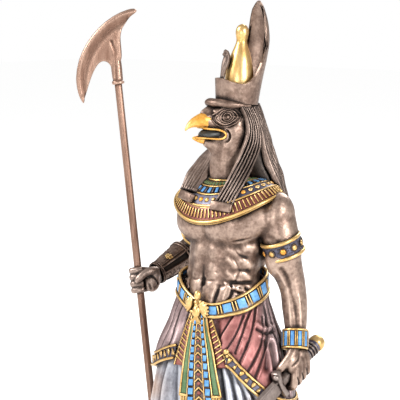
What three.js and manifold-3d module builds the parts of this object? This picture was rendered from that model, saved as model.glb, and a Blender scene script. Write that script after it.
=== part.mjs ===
// A painted, bronze-finished statuette of the falcon-headed god Horus on a low plinth. The god wears the
// double crown, a long wig, a broad collar and a belted kilt, holds a staff with a crescent blade in the
// right hand and a short sword in the left. Sizes are in millimetres, +Z is up, the chest faces -Y and the
// origin is the centre of the plinth's underside.
import * as THREE from "three";
import { mergeVertices } from "three/addons/utils/BufferGeometryUtils.js";
import Module from "manifold-3d";

const wasm = await Module();
wasm.setup();

// Driving dimensions
const plinth = { width: 104, depth: 84, height: 12, corner: 7, step: 2.4 };
const shaft = { radius: 1.9, footX: -35, footY: -4.5, topX: -62.2, topY: -11.7, topZ: 250, mouth: 242 };
const detail = 0.5; // how closely the faceted figure follows its own curves
const fit = 0.3; // the gap between a piece and the piece it passes through
const head = { x: 0.8, y: 8.8, turn: 22 };
const viewTurn = 42; // the crescent blade is turned this far about the upright, in degrees
const sword = { x: 40.4, y: 5.2, z: 103.2, dip: 31, grip: 2.4, guard: 9.2, pommel: 22.6, blade: 52 };
const staffGrip = { x: -49.7, y: -8.4, z: 141.6 };
const skirtHem = 59;
const kiltTop = 149;

const degrees = Math.PI / 180;
const point = (x, y, z) => new THREE.Vector3(x, y, z);

// Body outlines: height, half width, half depth and how far back the centre lies
const torsoRows = [
  [118, 23, 18, 0],
  [130, 23.5, 18, 0],
  [142, 21.5, 16.5, 0.3],
  [151, 20.3, 15.6, 0.8],
  [160, 21.8, 16.3, 1.8],
  [169, 25, 18.3, 2.8],
  [177, 27.5, 19, 4],
  [184, 27.5, 17.5, 6],
  [190, 22, 13.5, 7.5],
  [195, 13.5, 10.5, 7],
  [199, 9, 8.5, 5.5],
];
const kiltRows = [
  [59, 41.5, 33, 0],
  [72, 40.5, 32, 0],
  [86, 39, 31, 0],
  [96, 37.2, 29.7, 0],
  [106, 35.5, 28, 0],
  [116, 32.5, 25.5, 0],
  [126, 28.2, 21.6, 0],
  [136, 24.6, 18.8, 0],
  [146, 22.3, 17.2, 0.3],
  [154, 21.3, 16.6, 1],
];

// Arms, legs and lappets: x, y, z and two half widths along a smooth line
const leftArm = [
  [25.4, 8.4, 194, 3, 3],
  [26.6, 8.8, 188.6, 8.2, 8.4],
  [28, 9.1, 181, 9.5, 9.6],
  [31, 9.8, 164, 9.2, 9.2],
  [31.8, 10.6, 156, 8.8, 8.6],
  [33.8, 12.4, 148.5, 7.2, 7.2],
  [36, 12.8, 137, 6.4, 6.2],
  [38, 11.4, 126, 5.6, 5.6],
  [39.4, 9.4, 116, 5.2, 4.6],
  [40.6, 7.2, 109.4, 5, 4.2],
];
const rightArm = [
  [-23.6, 10.6, 193.5, 3, 3],
  [-25.6, 12, 188.5, 8.4, 8.6],
  [-27.6, 14, 180, 10, 10],
  [-34.8, 22.2, 165.6, 8.9, 8.8],
  [-40.6, 28.2, 158.8, 7.7, 7.6],
  [-43.8, 27.8, 155.4, 7.2, 7.2],
  [-45, 19, 152, 6.9, 6.8],
  [-45.8, 9, 147.4, 5.9, 5.8],
  [-47, 0, 143.6, 4.6, 4.6],
  [-48.2, -3.4, 142, 4.8, 4],
];
const bracer = [
  [-44.2, 26, 155, 8.3, 8.3],
  [-45, 18.5, 151.8, 8, 7.9],
  [-45.9, 8, 147, 6.9, 6.8],
  [-46.4, 3.8, 145.2, 6.3, 6.2],
];
const leftLappet = [
  [10.6, 6.6, 230, 4.2, 2],
  [13, 7.4, 220, 4.8, 2.2],
  [14.6, 4, 209, 5.2, 2.2],
  [15, -3.6, 199, 5.4, 2.2],
  [13.6, -10.8, 189.5, 5.6, 2.2],
  [12, -14.6, 182, 5.8, 1.9],
];
const rightLappet = [
  [-6.6, 15, 230, 4.2, 2],
  [-9.6, 15.2, 219, 4.8, 2.2],
  [-13.2, 9.5, 209, 5.2, 2.2],
  [-15, 0.5, 201, 5.4, 2.2],
  [-14.6, -8.5, 193.5, 5.6, 2.2],
  [-13.4, -13.8, 187, 5.8, 1.9],
];
const rightLeg = [
  [-12.5, -5, 84, 10, 10],
  [-12.8, -8.5, 70, 8.6, 8.8],
  [-13.2, -6.8, 52, 7.6, 8.2],
  [-13.6, -7.6, 34, 5.6, 6],
  [-13.8, -8.4, 20, 4.2, 4.8],
  [-13.8, -8.6, 12.5, 4.4, 5.2],
];
const leftLeg = [
  [12, 2, 84, 10, 10],
  [12.6, 2.5, 70, 8.6, 8.8],
  [13.8, 7, 52, 7.6, 8.2],
  [14.8, 9, 34, 5.6, 6],
  [15.2, 10, 20, 4.2, 4.8],
  [15.2, 10.2, 12.5, 4.4, 5.2],
];

// A value read from rows of sizes, on a smooth curve through them
function readRow(rows, key) {
  let i = 0;
  while (i < rows.length - 2 && rows[i + 1][0] < key) i++;
  const before = rows[Math.max(i - 1, 0)];
  const [a, b] = [rows[i], rows[i + 1]];
  const after = rows[Math.min(i + 2, rows.length - 1)];
  const t = THREE.MathUtils.clamp((key - a[0]) / (b[0] - a[0]), 0, 1);
  return a.slice(1).map((value, k) => {
    const rise = (b[k + 1] - before[k + 1]) / 2;
    const fall = (after[k + 1] - value) / 2;
    const d = value - b[k + 1];
    return value + t * (rise + t * (-3 * d - 2 * rise - fall + t * (2 * d + rise + fall)));
  });
}

// A closed body through a row of rings of points, with its two ends filled
function loft(rings) {
  const sides = rings[0].length;
  const places = [];
  const faces = [];
  for (const ring of rings) for (const p of ring) places.push(p.x, p.y, p.z);
  for (const ring of [rings[0], rings[rings.length - 1]]) {
    const middle = ring.reduce((sum, p) => sum.add(p), point(0, 0, 0)).divideScalar(sides);
    places.push(middle.x, middle.y, middle.z);
  }
  const last = (rings.length - 1) * sides;
  const firstMiddle = rings.length * sides;
  for (let j = 0; j < sides; j++) {
    const next = (j + 1) % sides;
    for (let i = 0; i < rings.length - 1; i++) {
      const [low, high] = [i * sides, (i + 1) * sides];
      faces.push(low + j, low + next, high + next, low + j, high + next, high + j);
    }
    faces.push(firstMiddle, next, j, firstMiddle + 1, last + j, last + next);
  }
  return solidFrom(places, faces);
}

// A manifold solid from places and faces, turned so that its faces point out
function solidFrom(places, faces) {
  const vertProperties = new Float32Array(places);
  const made = (corners) =>
    new wasm.Manifold(new wasm.Mesh({ numProp: 3, vertProperties, triVerts: new Uint32Array(corners) }));
  const solid = made(faces);
  return solid.volume() > 0 ? solid : made(faces.slice().reverse());
}

function solidOf(geometry) {
  const bare = geometry.clone();
  bare.deleteAttribute("normal");
  bare.deleteAttribute("uv");
  const merged = mergeVertices(bare, 1e-4);
  return solidFrom(Array.from(merged.attributes.position.array), Array.from(merged.index.array));
}

const join = (solids) => solids.reduce((sum, solid) => sum.add(solid));

function meshOf(solid, name, colour, roughness, metalness) {
  const { vertProperties, triVerts } = solid.getMesh();
  const geometry = new THREE.BufferGeometry();
  geometry.setAttribute("position", new THREE.BufferAttribute(vertProperties, 3));
  geometry.setIndex(new THREE.BufferAttribute(triVerts, 1));
  geometry.computeVertexNormals();
  const material = new THREE.MeshStandardMaterial({ color: colour, roughness, metalness });
  const mesh = new THREE.Mesh(geometry, material);
  mesh.name = name;
  return mesh;
}

// A level ring: an ellipse with a ripple, where angle 0 is the front and 90 degrees the left side
function levelRing(z, [halfWidth, halfDepth, back], sides, ripple = () => 1) {
  return Array.from({ length: sides }, (unused, j) => {
    const angle = (j / sides) * 2 * Math.PI;
    const k = ripple(angle);
    return point(halfWidth * k * Math.sin(angle), back - halfDepth * k * Math.cos(angle), z);
  });
}

// A limb: oval rings along a smooth line, the first half width lying across the given direction
function limb(rows, sides, steps, across = point(0, 1, 0)) {
  const line = new THREE.CatmullRomCurve3(rows.map(([x, y, z]) => point(x, y, z)), false, "centripetal");
  const sizes = rows.map((row, i) => [i, row[3], row[4]]);
  return loft(
    Array.from({ length: steps + 1 }, (unused, i) => {
      const t = i / steps;
      const along = line.getTangent(t);
      const u = across.clone().cross(along).normalize();
      const w = along.clone().cross(u);
      const [a, b] = readRow(sizes, t * (rows.length - 1));
      return Array.from({ length: sides }, (unused2, j) => {
        const angle = (j / sides) * 2 * Math.PI;
        return line
          .getPoint(t)
          .addScaledVector(u, a * Math.cos(angle))
          .addScaledVector(w, b * Math.sin(angle));
      });
    }),
  );
}

function ellipsoid(x, y, z, rx, ry, rz, tilt = 0, around = 8, rows = 5) {
  const ball = new THREE.SphereGeometry(1, around, rows).scale(rx, ry, rz);
  return solidOf(ball.rotateY(tilt * degrees).translate(x, y, z));
}

// A solid turned on an upright line, from rows of height and radius, leaning by the given shift at its top
function turned(rows, centre, lean, sides) {
  const low = rows[0][0];
  const high = rows[rows.length - 1][0];
  return loft(
    rows.map(([z, radius]) => {
      const place = lean
        .clone()
        .multiplyScalar((z - low) / (high - low))
        .add(point(centre.x, centre.y, 0));
      return levelRing(z, [radius, radius, 0], sides).map((p) => p.add(place));
    }),
  );
}

// The head's own directions: forward along the beak and left across the face
const forward = point(-Math.sin(head.turn * degrees), -Math.cos(head.turn * degrees), 0);
const leftward = point(Math.cos(head.turn * degrees), -Math.sin(head.turn * degrees), 0);
const headPoint = (f, l, z) =>
  point(head.x, head.y, z).addScaledVector(forward, f).addScaledVector(leftward, l);
const headRows = (rows) => rows.map(([f, z, a, b]) => [...headPoint(f, 0, z).toArray(), a, b]);

// Muscles on the trunk: angle from the front, height, reach sideways and up, and how far each stands out
const muscles = [
  [34, 175, 24, 7, 2.6],
  [17, 161, 13, 3.8, 1.1],
  [18, 153, 13, 3.6, 1.1],
  [20, 144.5, 14, 4, 0.9],
  [80, 160, 26, 10, 1.2],
  [0, 158, 4, 18, -0.9],
  [180, 165, 9, 20, -1.4],
];

function torso() {
  const sides = 24;
  const heights = [118, 140, 144.5, 149, 153, 157, 161, 166, 170, 175, 180, 186, 192, 199];
  return loft(
    heights.map((z) => {
      const [halfWidth, halfDepth, back] = readRow(torsoRows, z);
      return levelRing(z, [halfWidth, halfDepth, back], sides, (angle) => {
        const turn = Math.abs(Math.atan2(Math.sin(angle), Math.cos(angle))) / degrees;
        const swell = muscles.map(([at, level, wide, tall, out]) => {
          return out * Math.exp(-(((turn - at) / wide) ** 2) - ((z - level) / tall) ** 2);
        });
        return 1 + swell.reduce((sum, value) => sum + value) / halfDepth;
      });
    }),
  );
}

function neckAndHead() {
  const neckRows = [
    [-1.4, 6.4, 190, 9.6, 9.6],
    [-1, 5.6, 200, 7.8, 7.8],
    [0, 6.2, 209, 7.6, 8],
    [0.8, 8, 219, 8.4, 9],
  ];
  const skull = solidOf(
    new THREE.SphereGeometry(1, 12, 8)
      .scale(9.4, 13.2, 11)
      .rotateZ(-head.turn * degrees)
      .translate(...headPoint(1.4, 0, 224).toArray()),
  );
  // Forward distance, height and two half widths
  const beakRows = [
    [7, 224.8, 6.2, 6.4],
    [12, 225.3, 5.7, 5.7],
    [16.1, 225.3, 4.6, 4.8],
    [20.2, 225.5, 3.4, 3.5],
    [23.9, 224.5, 2.2, 2.1],
    [26.6, 222.7, 1.1, 1.1],
    [27.8, 221.4, 0.35, 0.35],
  ];
  const jawRows = [
    [6, 215.4, 5, 3.4],
    [11.7, 215.2, 4.2, 2.7],
    [16.1, 215.9, 3.2, 1.6],
    [20.5, 216.2, 2, 0.9],
    [23.9, 216.5, 0.5, 0.3],
  ];
  const bill = (rows) => limb(headRows(rows), 10, 6, point(0, 0, 1));
  const tongue = ellipsoidAt(headPoint(11.5, 0, 218.6), 2.2, 6, 2.6);
  const brow = [-1, 1].map((side) => ellipsoidAt(headPoint(7.6, side * 7.2, 227.4), 2, 5.4, 3.2));
  const band = loft(
    [[236.6, 11.2], [236.4, 12.2], [232.6, 12.4], [231.8, 11.4]].map(([z, radius]) => {
      return levelRing(0, [radius * 0.92, radius * 1.12, 0], 18).map((p) => {
        const f = -p.y + 1;
        return headPoint(f, p.x, z + 0.16 * f - 1.2);
      });
    }),
  );
  return join([limb(neckRows, 12, 4), skull, bill(beakRows), bill(jawRows), tongue, ...brow, band]);
}

// An ellipsoid whose half width, half length and half height follow the head's directions
function ellipsoidAt(centre, width, length, height) {
  return solidOf(
    new THREE.SphereGeometry(1, 8, 5)
      .scale(width, length, height)
      .rotateZ(-head.turn * degrees)
      .translate(...centre.toArray()),
  );
}

// The wig: height, how far the ring is turned with the head, its centre and its half sizes
const wigRows = [
  [234.5, 1, -1, 9.6, 10],
  [229, 1, -2.4, 11.4, 11.4],
  [221, 1, -3.4, 12.4, 11.6],
  [212.5, 0.8, -5.4, 14.6, 10.8],
  [204, 0.5, -7.4, 18, 9.6],
  [195, 0.2, -10, 21.6, 8],
  [187, 0, -12, 24.2, 6.2],
  [180, 0, -12.8, 25.2, 4.6],
];

function wig() {
  const flutes = 13;
  const sides = flutes * 2;
  const hood = loft(
    wigRows.map(([z, turn, f, halfWidth, halfDepth]) => {
      const yaw = head.turn * turn * degrees;
      const front = point(-Math.sin(yaw), -Math.cos(yaw), 0);
      const side = point(Math.cos(yaw), -Math.sin(yaw), 0);
      return levelRing(0, [halfWidth, halfDepth, 0], sides).map((p, j) => {
        const groove = j % 2 ? 0.97 : 1;
        return point(head.x * turn, head.y, z)
          .addScaledVector(front, f - p.y * groove)
          .addScaledVector(side, p.x * groove);
      });
    }),
  );
  const lappets = [leftLappet, rightLappet].map((rows) => fluted(rows));
  const bands = [leftLappet, rightLappet].map((rows) => {
    const [x, y, z] = rows[rows.length - 1];
    return limb([[x, y + 1.4, z + 2.8, 6.3, 2.7], [x, y - 0.2, z - 1.6, 6.3, 2.7]], 12, 2);
  });
  return join([hood, ...lappets, ...bands]);
}

// A flat tress with ridges along its outer face
function fluted(rows) {
  const line = new THREE.CatmullRomCurve3(rows.map(([x, y, z]) => point(x, y, z)), false, "centripetal");
  const sizes = rows.map((row, i) => [i, row[3], row[4]]);
  const steps = 5;
  const sides = 14;
  return loft(
    Array.from({ length: steps + 1 }, (unused, i) => {
      const t = i / steps;
      const centre = line.getPoint(t);
      const outward = point(centre.x * 0.55, -1, 0.5).normalize();
      const along = line.getTangent(t);
      const across = outward.clone().cross(along).normalize();
      const out = along.clone().cross(across);
      const [a, b] = readRow(sizes, t * (rows.length - 1));
      return Array.from({ length: sides }, (unused2, j) => {
        const angle = (j / sides) * 2 * Math.PI;
        const ridge = j % 2 ? 0.78 : 1;
        return centre
          .clone()
          .addScaledVector(across, a * Math.cos(angle))
          .addScaledVector(out, b * ridge * Math.sin(angle));
      });
    }),
  );
}

// The crown's rim: its height at each angle from the back, low in front and a tall pointed leaf behind
const rimRows = [
  [0, 285.3],
  [20, 285.3],
  [38, 285.3],
  [54, 285.2],
  [58, 256],
  [66, 250.8],
  [80, 246.6],
  [100, 244.2],
  [135, 245.4],
  [180, 247.2],
];
// The crown's outline: height, how far forward its centre lies and its radius
const crownRows = [
  [233, -0.4, 10.1],
  [247, -1.7, 12],
  [255, -2.8, 12.8],
  [265, -4.3, 13],
  [272, -5, 12],
  [277, -6, 10.2],
  [281, -7.6, 7.6],
  [283.5, -9.2, 5.3],
  [285.4, -11.6, 1.7],
];
const crownWall = 1.4;

function crown() {
  const angles = rimRows.map(([angle]) => angle);
  const around = [...angles, ...angles.slice(1, -1).reverse().map((angle) => 360 - angle)];
  const levels = 5;
  const wall = (level, inset) =>
    around.map((angle) => {
      const [rim] = readLine(rimRows, angle > 180 ? 360 - angle : angle);
      const floor = inset ? 241 : 233;
      const z = floor + (rim - floor) * (level / levels);
      const [f, radius] = readRow(crownRows, z);
      const reach = Math.max(radius - inset, 0.25);
      const tilt = level === 0 && !inset ? 0.16 : 0;
      const ahead = f - reach * Math.cos(angle * degrees);
      return headPoint(ahead, reach * Math.sin(angle * degrees), z + tilt * ahead);
    });
  const outside = Array.from({ length: levels + 1 }, (unused, level) => wall(level, 0));
  const inside = Array.from({ length: levels + 1 }, (unused, level) => wall(levels - level, crownWall));
  const bulbRows = [
    [238, 7.2],
    [244.6, 7.1],
    [251.5, 6.5],
    [257.5, 5.1],
    [262, 3.5],
    [265, 2.6],
    [267, 2.9],
    [269, 3.2],
    [271.4, 2.5],
    [273.3, 0.8],
  ];
  const bulb = turned(bulbRows, headPoint(-1.5, 0, 0), forward.clone().multiplyScalar(-2.4), 12);
  const cobraRows = [
    [7.2, 240, 1.4, 1.2],
    [7.7, 249, 1.6, 1.1],
    [6.2, 254, 2.2, 1.1],
    [5.6, 257.4, 1.8, 1],
    [6.6, 259.4, 1, 0.8],
  ];
  const cobra = limb(headRows(cobraRows), 6, 5);
  return join([loft([...outside, ...inside]), bulb, cobra]);
}

function readLine(rows, key) {
  const i = Math.min(Math.max(rows.findIndex(([at]) => at >= key), 1), rows.length - 1);
  const [a, b] = [rows[i - 1], rows[i]];
  const t = (key - a[0]) / (b[0] - a[0]);
  return a.slice(1).map((value, k) => value + t * (b[k + 1] - value));
}

// The broad collar: rings from under its edge over the shoulders to the neck
function collar() {
  const sides = 26;
  const outer = (angle, grow, drop) =>
    point(
      (31.4 + grow) * Math.sin(angle),
      4.4 - (22.4 + grow) * Math.cos(angle),
      180 - 5 * Math.cos(angle) + 9 * Math.sin(angle) ** 2 - drop,
    );
  const inner = (angle) => point(-0.6 + 8.6 * Math.sin(angle), 5.6 - 8.8 * Math.cos(angle), 197);
  const ringAt = (share, lift) =>
    Array.from({ length: sides }, (unused, j) => {
      const angle = (j / sides) * 2 * Math.PI;
      const bulge = 3.4 * Math.sin(share * Math.PI);
      const swell = point(0, -bulge * 0.3 * Math.cos(angle), bulge + lift);
      return outer(angle, 0, 0).lerp(inner(angle), share).add(swell);
    });
  const under = Array.from({ length: sides }, (unused, j) => outer((j / sides) * 2 * Math.PI, -1.6, 1.6));
  const face = [0.3, 0.6, 0.85, 1].map((share) => ringAt(share, 0));
  return loft([under, ringAt(0, -0.9), ringAt(0.02, 0.3), ...face]);
}

// The belt's middle height round the hips: it dips to the buckle in front and rises behind
function beltHeight(angle) {
  const turn = angle - 38 * degrees;
  const rise = Math.cos(turn) > 0 ? 7.6 : 3;
  const wrapped = Math.atan2(Math.sin(angle), Math.cos(angle)) / (28 * degrees) - 0.5;
  return 146 - rise * Math.cos(turn) - 5 * Math.exp(-wrapped * wrapped);
}

// The outer kilt's lower edge: high at the front overlap and the right side, low at the left and behind
function hemHeight(angle) {
  const a = Math.atan2(Math.sin(angle), Math.cos(angle)) / degrees;
  const [height] = readRow(hemRows, a);
  return height;
}
const hemRows = [
  [-180, 90],
  [-120, 96],
  [-75, 103.5],
  [-40, 106],
  [-15, 111],
  [12, 112],
  [30, 104],
  [50, 95],
  [80, 88.5],
  [120, 86.5],
  [180, 90],
];

// How the legs push the cloth out and where it falls in between, as a share of the radius
function legPush(angle, z) {
  const a = Math.atan2(Math.sin(angle), Math.cos(angle)) / degrees;
  const low = THREE.MathUtils.smoothstep(136 - z, 0, 40);
  const bump = (centre, width, height) => height * Math.exp(-(((a - centre) / width) ** 2));
  return 1 + low * (bump(-34, 26, 0.05) - bump(16, 18, 0.09) + bump(58, 26, 0.03));
}

function skirtRing(z, sides, grow, pleat) {
  const [a, b, back] = readRow(kiltRows, z);
  return levelRing(z, [a + grow, b + grow, back], sides, (angle) => legPush(angle, z) * (1 + pleat(angle)));
}

function kilt() {
  const sides = 44;
  const pleats = 11;
  const levels = 4;
  const ringFor = (share, grow) =>
    Array.from({ length: sides }, (unused, j) => {
      const angle = (j / sides) * 2 * Math.PI;
      const hem = hemHeight(angle);
      const z = hem + share * (Math.min(beltHeight(angle) + 2, kiltTop) - hem);
      const slant = angle + 0.35 * share;
      const pleat = (0.012 - 0.03 * Math.abs(Math.sin((slant * pleats) / 2))) * (1 - 0.6 * share);
      const [a, b, back] = readRow(kiltRows, z);
      const k = legPush(angle, z) * (1 + pleat);
      return point((a + grow) * k * Math.sin(angle), back - (b + grow) * k * Math.cos(angle), z);
    });
  const rings = Array.from({ length: levels + 1 }, (unused, i) => ringFor(i / levels, 0.6));
  return loft([ringFor(0, -5), ...rings]);
}

function skirt() {
  const sides = 32;
  const fold = (angle) => 0.022 * Math.sin(angle * 8 + 1) - 0.01;
  const heights = [skirtHem, 72, 86, 100, 114, 124];
  const outside = heights.map((z) => skirtRing(z, sides, -1.4, fold));
  const under = [skirtRing(70, sides, -9, () => 0), skirtRing(skirtHem, sides, -3.4, fold)];
  return loft([...under, ...outside]);
}

function belt() {
  const sides = 26;
  const halfHeight = 3.9;
  const ringFor = (offset, grow) =>
    Array.from({ length: sides }, (unused, j) => {
      const angle = (j / sides) * 2 * Math.PI;
      const z = beltHeight(angle) + offset;
      const [a, b, back] = readRow(kiltRows, z);
      return point((a + grow) * Math.sin(angle), back - (b + grow) * Math.cos(angle), z);
    });
  const edges = [[-halfHeight, -4], [-halfHeight, 1.5], [halfHeight, 1.7], [halfHeight, -4]];
  return loft(edges.map(([offset, grow]) => ringFor(offset, grow)));
}

// The front sash and its two short side panels: height, middle, how far forward and half width
const sashRows = [
  [133, 3.4, -19.6, 5.4],
  [124, 5, -23.4, 7],
  [108, 8, -28, 9.2],
  [92, 11, -30.8, 11.2],
  [76, 12.8, -32.4, 12.8],
  [61, 14, -33.6, 14],
];
const redRows = [
  [131, 3.6, -18.8, 7.6],
  [120, 5, -22.8, 12.6],
  [104, 7.4, -27, 19.4],
];

function hangingPanel(rows, thickness) {
  return loft(
    rows.map(([z, x, y, half]) => {
      const across = Array.from({ length: 7 }, (unused, i) => (i / 6) * 2 - 1);
      const front = across.map((s) => point(x + s * half, y + 2.2 * s * s, z));
      const back = across.map((s) => point(x - s * half, y + thickness + 2.2 * s * s, z));
      return [...front, ...back];
    }),
  );
}

function buckle() {
  return join([
    ellipsoid(2.2, -23, 138.4, 2.3, 1.8, 2.9, 0),
    ellipsoid(2, -22, 133, 2.6, 2.2, 4, 0),
    ellipsoid(-2.8, -21, 134.2, 4.6, 1.5, 2.9, 30),
    ellipsoid(6.8, -21, 134.2, 4.6, 1.5, 2.9, -30),
  ]);
}

// A ring that stands proud of a limb, between two shares of its length
function cuff(rows, from, to, grow) {
  const line = new THREE.CatmullRomCurve3(rows.map(([x, y, z]) => point(x, y, z)), false, "centripetal");
  const sizes = rows.map((row, i) => [i, row[3], row[4]]);
  const at = (t) => {
    const [a, b] = readRow(sizes, t * (rows.length - 1));
    return [...line.getPoint(t).toArray(), a + grow, b + grow];
  };
  return limb([at(from), at((from + to) / 2), at(to)], 12, 1);
}

// A closed fist round a bar: four fingers and a thumb curl about the bar's line, the palm lies to one side
function fist(centre, barLine, palmSide, gripRadius, curl) {
  const out = palmSide.clone().projectOnPlane(barLine).normalize();
  const side = barLine.clone().cross(out).multiplyScalar(curl);
  const around = (angle, reach, slide) =>
    centre
      .clone()
      .addScaledVector(out, reach * Math.cos(angle * degrees))
      .addScaledVector(side, reach * Math.sin(angle * degrees))
      .addScaledVector(barLine, slide);
  const digit = (slide, from, to, reach, thick, drift) => {
    const steps = 3;
    const rows = Array.from({ length: steps + 1 }, (unused, i) => {
      const angle = from + ((to - from) * i) / steps;
      return [...around(angle, reach, slide + (drift * i) / steps).toArray(), thick, thick];
    });
    return limb(rows, 6, 4, barLine);
  };
  const parts = [-1.5, -0.5, 0.5, 1.5].map((n) => digit(n * 3.3, 20, 292, gripRadius + 1.5, 1.85, 0));
  parts.push(digit(6.2, -30, -210, gripRadius + 1.8, 1.9, -1.2));
  const palm = new THREE.SphereGeometry(1, 8, 5).scale(3.4, 6.4, 7.2);
  const frame = new THREE.Matrix4().makeBasis(out, side.clone().multiplyScalar(curl), barLine);
  palm.applyMatrix4(frame).translate(...around(0, gripRadius + 2.8, 0.4).toArray());
  parts.push(solidOf(palm));
  return join(parts);
}

// A foot in a sandal: level rings from the ground up, with a flat sole
function foot(x, y, turn) {
  const outline = (z, grow) =>
    Array.from({ length: 14 }, (unused, j) => {
      const angle = (j / 14) * 2 * Math.PI;
      const ahead = Math.cos(angle);
      const width = 4.3 + 1.1 * ahead + grow;
      return point(width * Math.sin(angle), -8.5 - (15.5 + grow) * ahead, z);
    });
  const instep = (z, share, width) =>
    Array.from({ length: 14 }, (unused, j) => {
      const angle = (j / 14) * 2 * Math.PI;
      return point(width * Math.sin(angle), -15.5 * Math.cos(angle) * share - 8.5 * share, z);
    });
  const sole = loft([outline(10.5, 1), outline(13.6, 1)]);
  const upper = [[17.6, 0.86, 4.6], [20.6, 0.55, 4.2], [25, 0.28, 3.9]];
  const body = loft([outline(13, 0), outline(15.4, 0.1), ...upper.map((row) => instep(...row))]);
  return sole.add(body).rotate([0, 0, turn]).translate([x, y, 0]);
}

function figure() {
  const staffLine = shaftPoint(shaft.topZ).sub(shaftPoint(plinth.height)).normalize();
  const swordLine = point(0, -Math.cos(sword.dip * degrees), -Math.sin(sword.dip * degrees));
  const parts = [
    torso(),
    neckAndHead(),
    wig(),
    crown(),
    collar(),
    limb(leftArm, 10, 8),
    limb(rightArm, 10, 9),
    cuff(leftArm, 0.38, 0.5, 1.2),
    cuff(leftArm, 0.9, 0.985, 1.2),
    cuff(rightArm, 0.3, 0.4, 1.2),
    limb(bracer, 12, 2),
    fist(point(staffGrip.x, staffGrip.y, staffGrip.z), staffLine, point(0.33, 0.94, 0), shaft.radius, 1),
    fist(point(sword.x, sword.y, sword.z), swordLine, point(0.75, 0.1, 0.65), sword.grip, -1),
    kilt(),
    skirt(),
    belt(),
    hangingPanel(redRows, 6),
    hangingPanel(sashRows, 6),
    buckle(),
    limb(rightLeg, 12, 5),
    limb(leftLeg, 12, 5),
    foot(-14, -9.4, -14),
    foot(15.4, 9.6, 14),
  ];
  const ground = solidOf(new THREE.BoxGeometry(200, 200, 40).translate(0, 0, plinth.height - 20));
  const whole = join(parts)
    .simplify(detail)
    .subtract(ground)
    .subtract(shaftSolid(shaft.radius + fit, plinth.height - 4))
    .subtract(gripSolid(sword.grip + fit));
  // The small hollows closed in between neighbouring forms are filled
  return whole.decompose().reduce((largest, body) => (body.volume() > largest.volume() ? body : largest));
}

// The middle of the leaning staff at a given height
function shaftPoint(z) {
  const t = (z - plinth.height) / (shaft.topZ - plinth.height);
  const [leanX, leanY] = [shaft.topX - shaft.footX, shaft.topY - shaft.footY];
  return point(shaft.footX + t * leanX, shaft.footY + t * leanY, z);
}

// Level rings about the staff's line, from rows of height and radius
function staffBody(rows) {
  const ring = (z, radius) => levelRing(0, [radius, radius, 0], 14).map((p) => p.add(shaftPoint(z)));
  return loft(rows.map(([z, radius]) => ring(z, radius)));
}

function shaftSolid(radius, foot) {
  return staffBody([[foot, radius], [shaft.topZ, radius]]);
}

// A flat plate with bevelled edges, drawn as points in X and Y and standing half its thickness either side
function plate(outline, thickness, bevel) {
  const count = outline.length;
  const inset = (amount) =>
    outline.map((p, i) => {
      const [before, after] = [outline[(i + count - 1) % count], outline[(i + 1) % count]];
      const edge = after.clone().sub(before).normalize();
      return new THREE.Vector2(p.x - edge.y * amount, p.y + edge.x * amount);
    });
  const half = thickness / 2;
  const layers = [[bevel, -half], [0, -half * 0.35], [0, half * 0.35], [bevel, half]];
  const places = layers.flatMap(([amount, z]) => inset(amount).flatMap((p) => [p.x, p.y, z]));
  const top = (layers.length - 1) * count;
  const faces = [];
  for (const [a, b, c] of THREE.ShapeUtils.triangulateShape(outline.slice(), [])) {
    faces.push(a, c, b, top + a, top + b, top + c);
  }
  for (let j = 0; j < count; j++) {
    const next = (j + 1) % count;
    for (let low = 0; low < top; low += count) {
      faces.push(low + j, low + next, low + count + next, low + j, low + count + next, low + count + j);
    }
  }
  return solidFrom(places, faces);
}

// The sword lies along its own X line, tip first, and is then dipped and set in the hand
function placeSword(solid) {
  return solid
    .rotate([0, 0, -90])
    .rotate([sword.dip, 0, 0])
    .translate([sword.x, sword.y, sword.z]);
}

function gripSolid(radius) {
  const bar = new THREE.CylinderGeometry(radius, radius, 2 * sword.pommel, 14);
  return placeSword(solidOf(bar.rotateZ(Math.PI / 2)));
}

function swordSolid() {
  const start = sword.guard;
  const shape = new THREE.Shape();
  shape.moveTo(start, -4.7);
  shape.quadraticCurveTo(start + sword.blade * 0.55, -6.4, start + sword.blade, 0);
  shape.quadraticCurveTo(start + sword.blade * 0.55, 6.4, start, 4.7);
  const blade = plate(shape.getPoints(7), 2, 1.6).rotate([90, 0, 0]);
  const back = -sword.pommel;
  const profile = [
    [back - 3.2, 0],
    [back - 2.8, 1.9],
    [back - 1, 3.2],
    [back + 1.4, 3.3],
    [back + 3, 2.3],
  ];
  for (let i = 0; i < 4; i++) {
    const at = back + 3.4 + i * 2.4;
    profile.push([at, 2], [at + 1.2, sword.grip]);
  }
  profile.push([-9, 2.2], [start - 1.6, 2.2], [start - 1.4, 2.9], [start + 1, 2.7], [start + 1.2, 0]);
  const half = profile.map(([along, radius]) => new THREE.Vector2(radius, along));
  const hilt = new THREE.LatheGeometry(half, 12);
  const guardShape = new THREE.Shape();
  guardShape.moveTo(start + 1.3, -7.4);
  guardShape.quadraticCurveTo(start + 3, 0, start + 1.3, 7.4);
  guardShape.lineTo(start - 1.3, 7);
  guardShape.quadraticCurveTo(start + 0.6, 0, start - 1.3, -7);
  const guard = plate(guardShape.getPoints(4), 3, 0.4).rotate([90, 0, 0]);
  return placeSword(join([blade, solidOf(hilt.rotateZ(-Math.PI / 2)), guard]));
}

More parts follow.
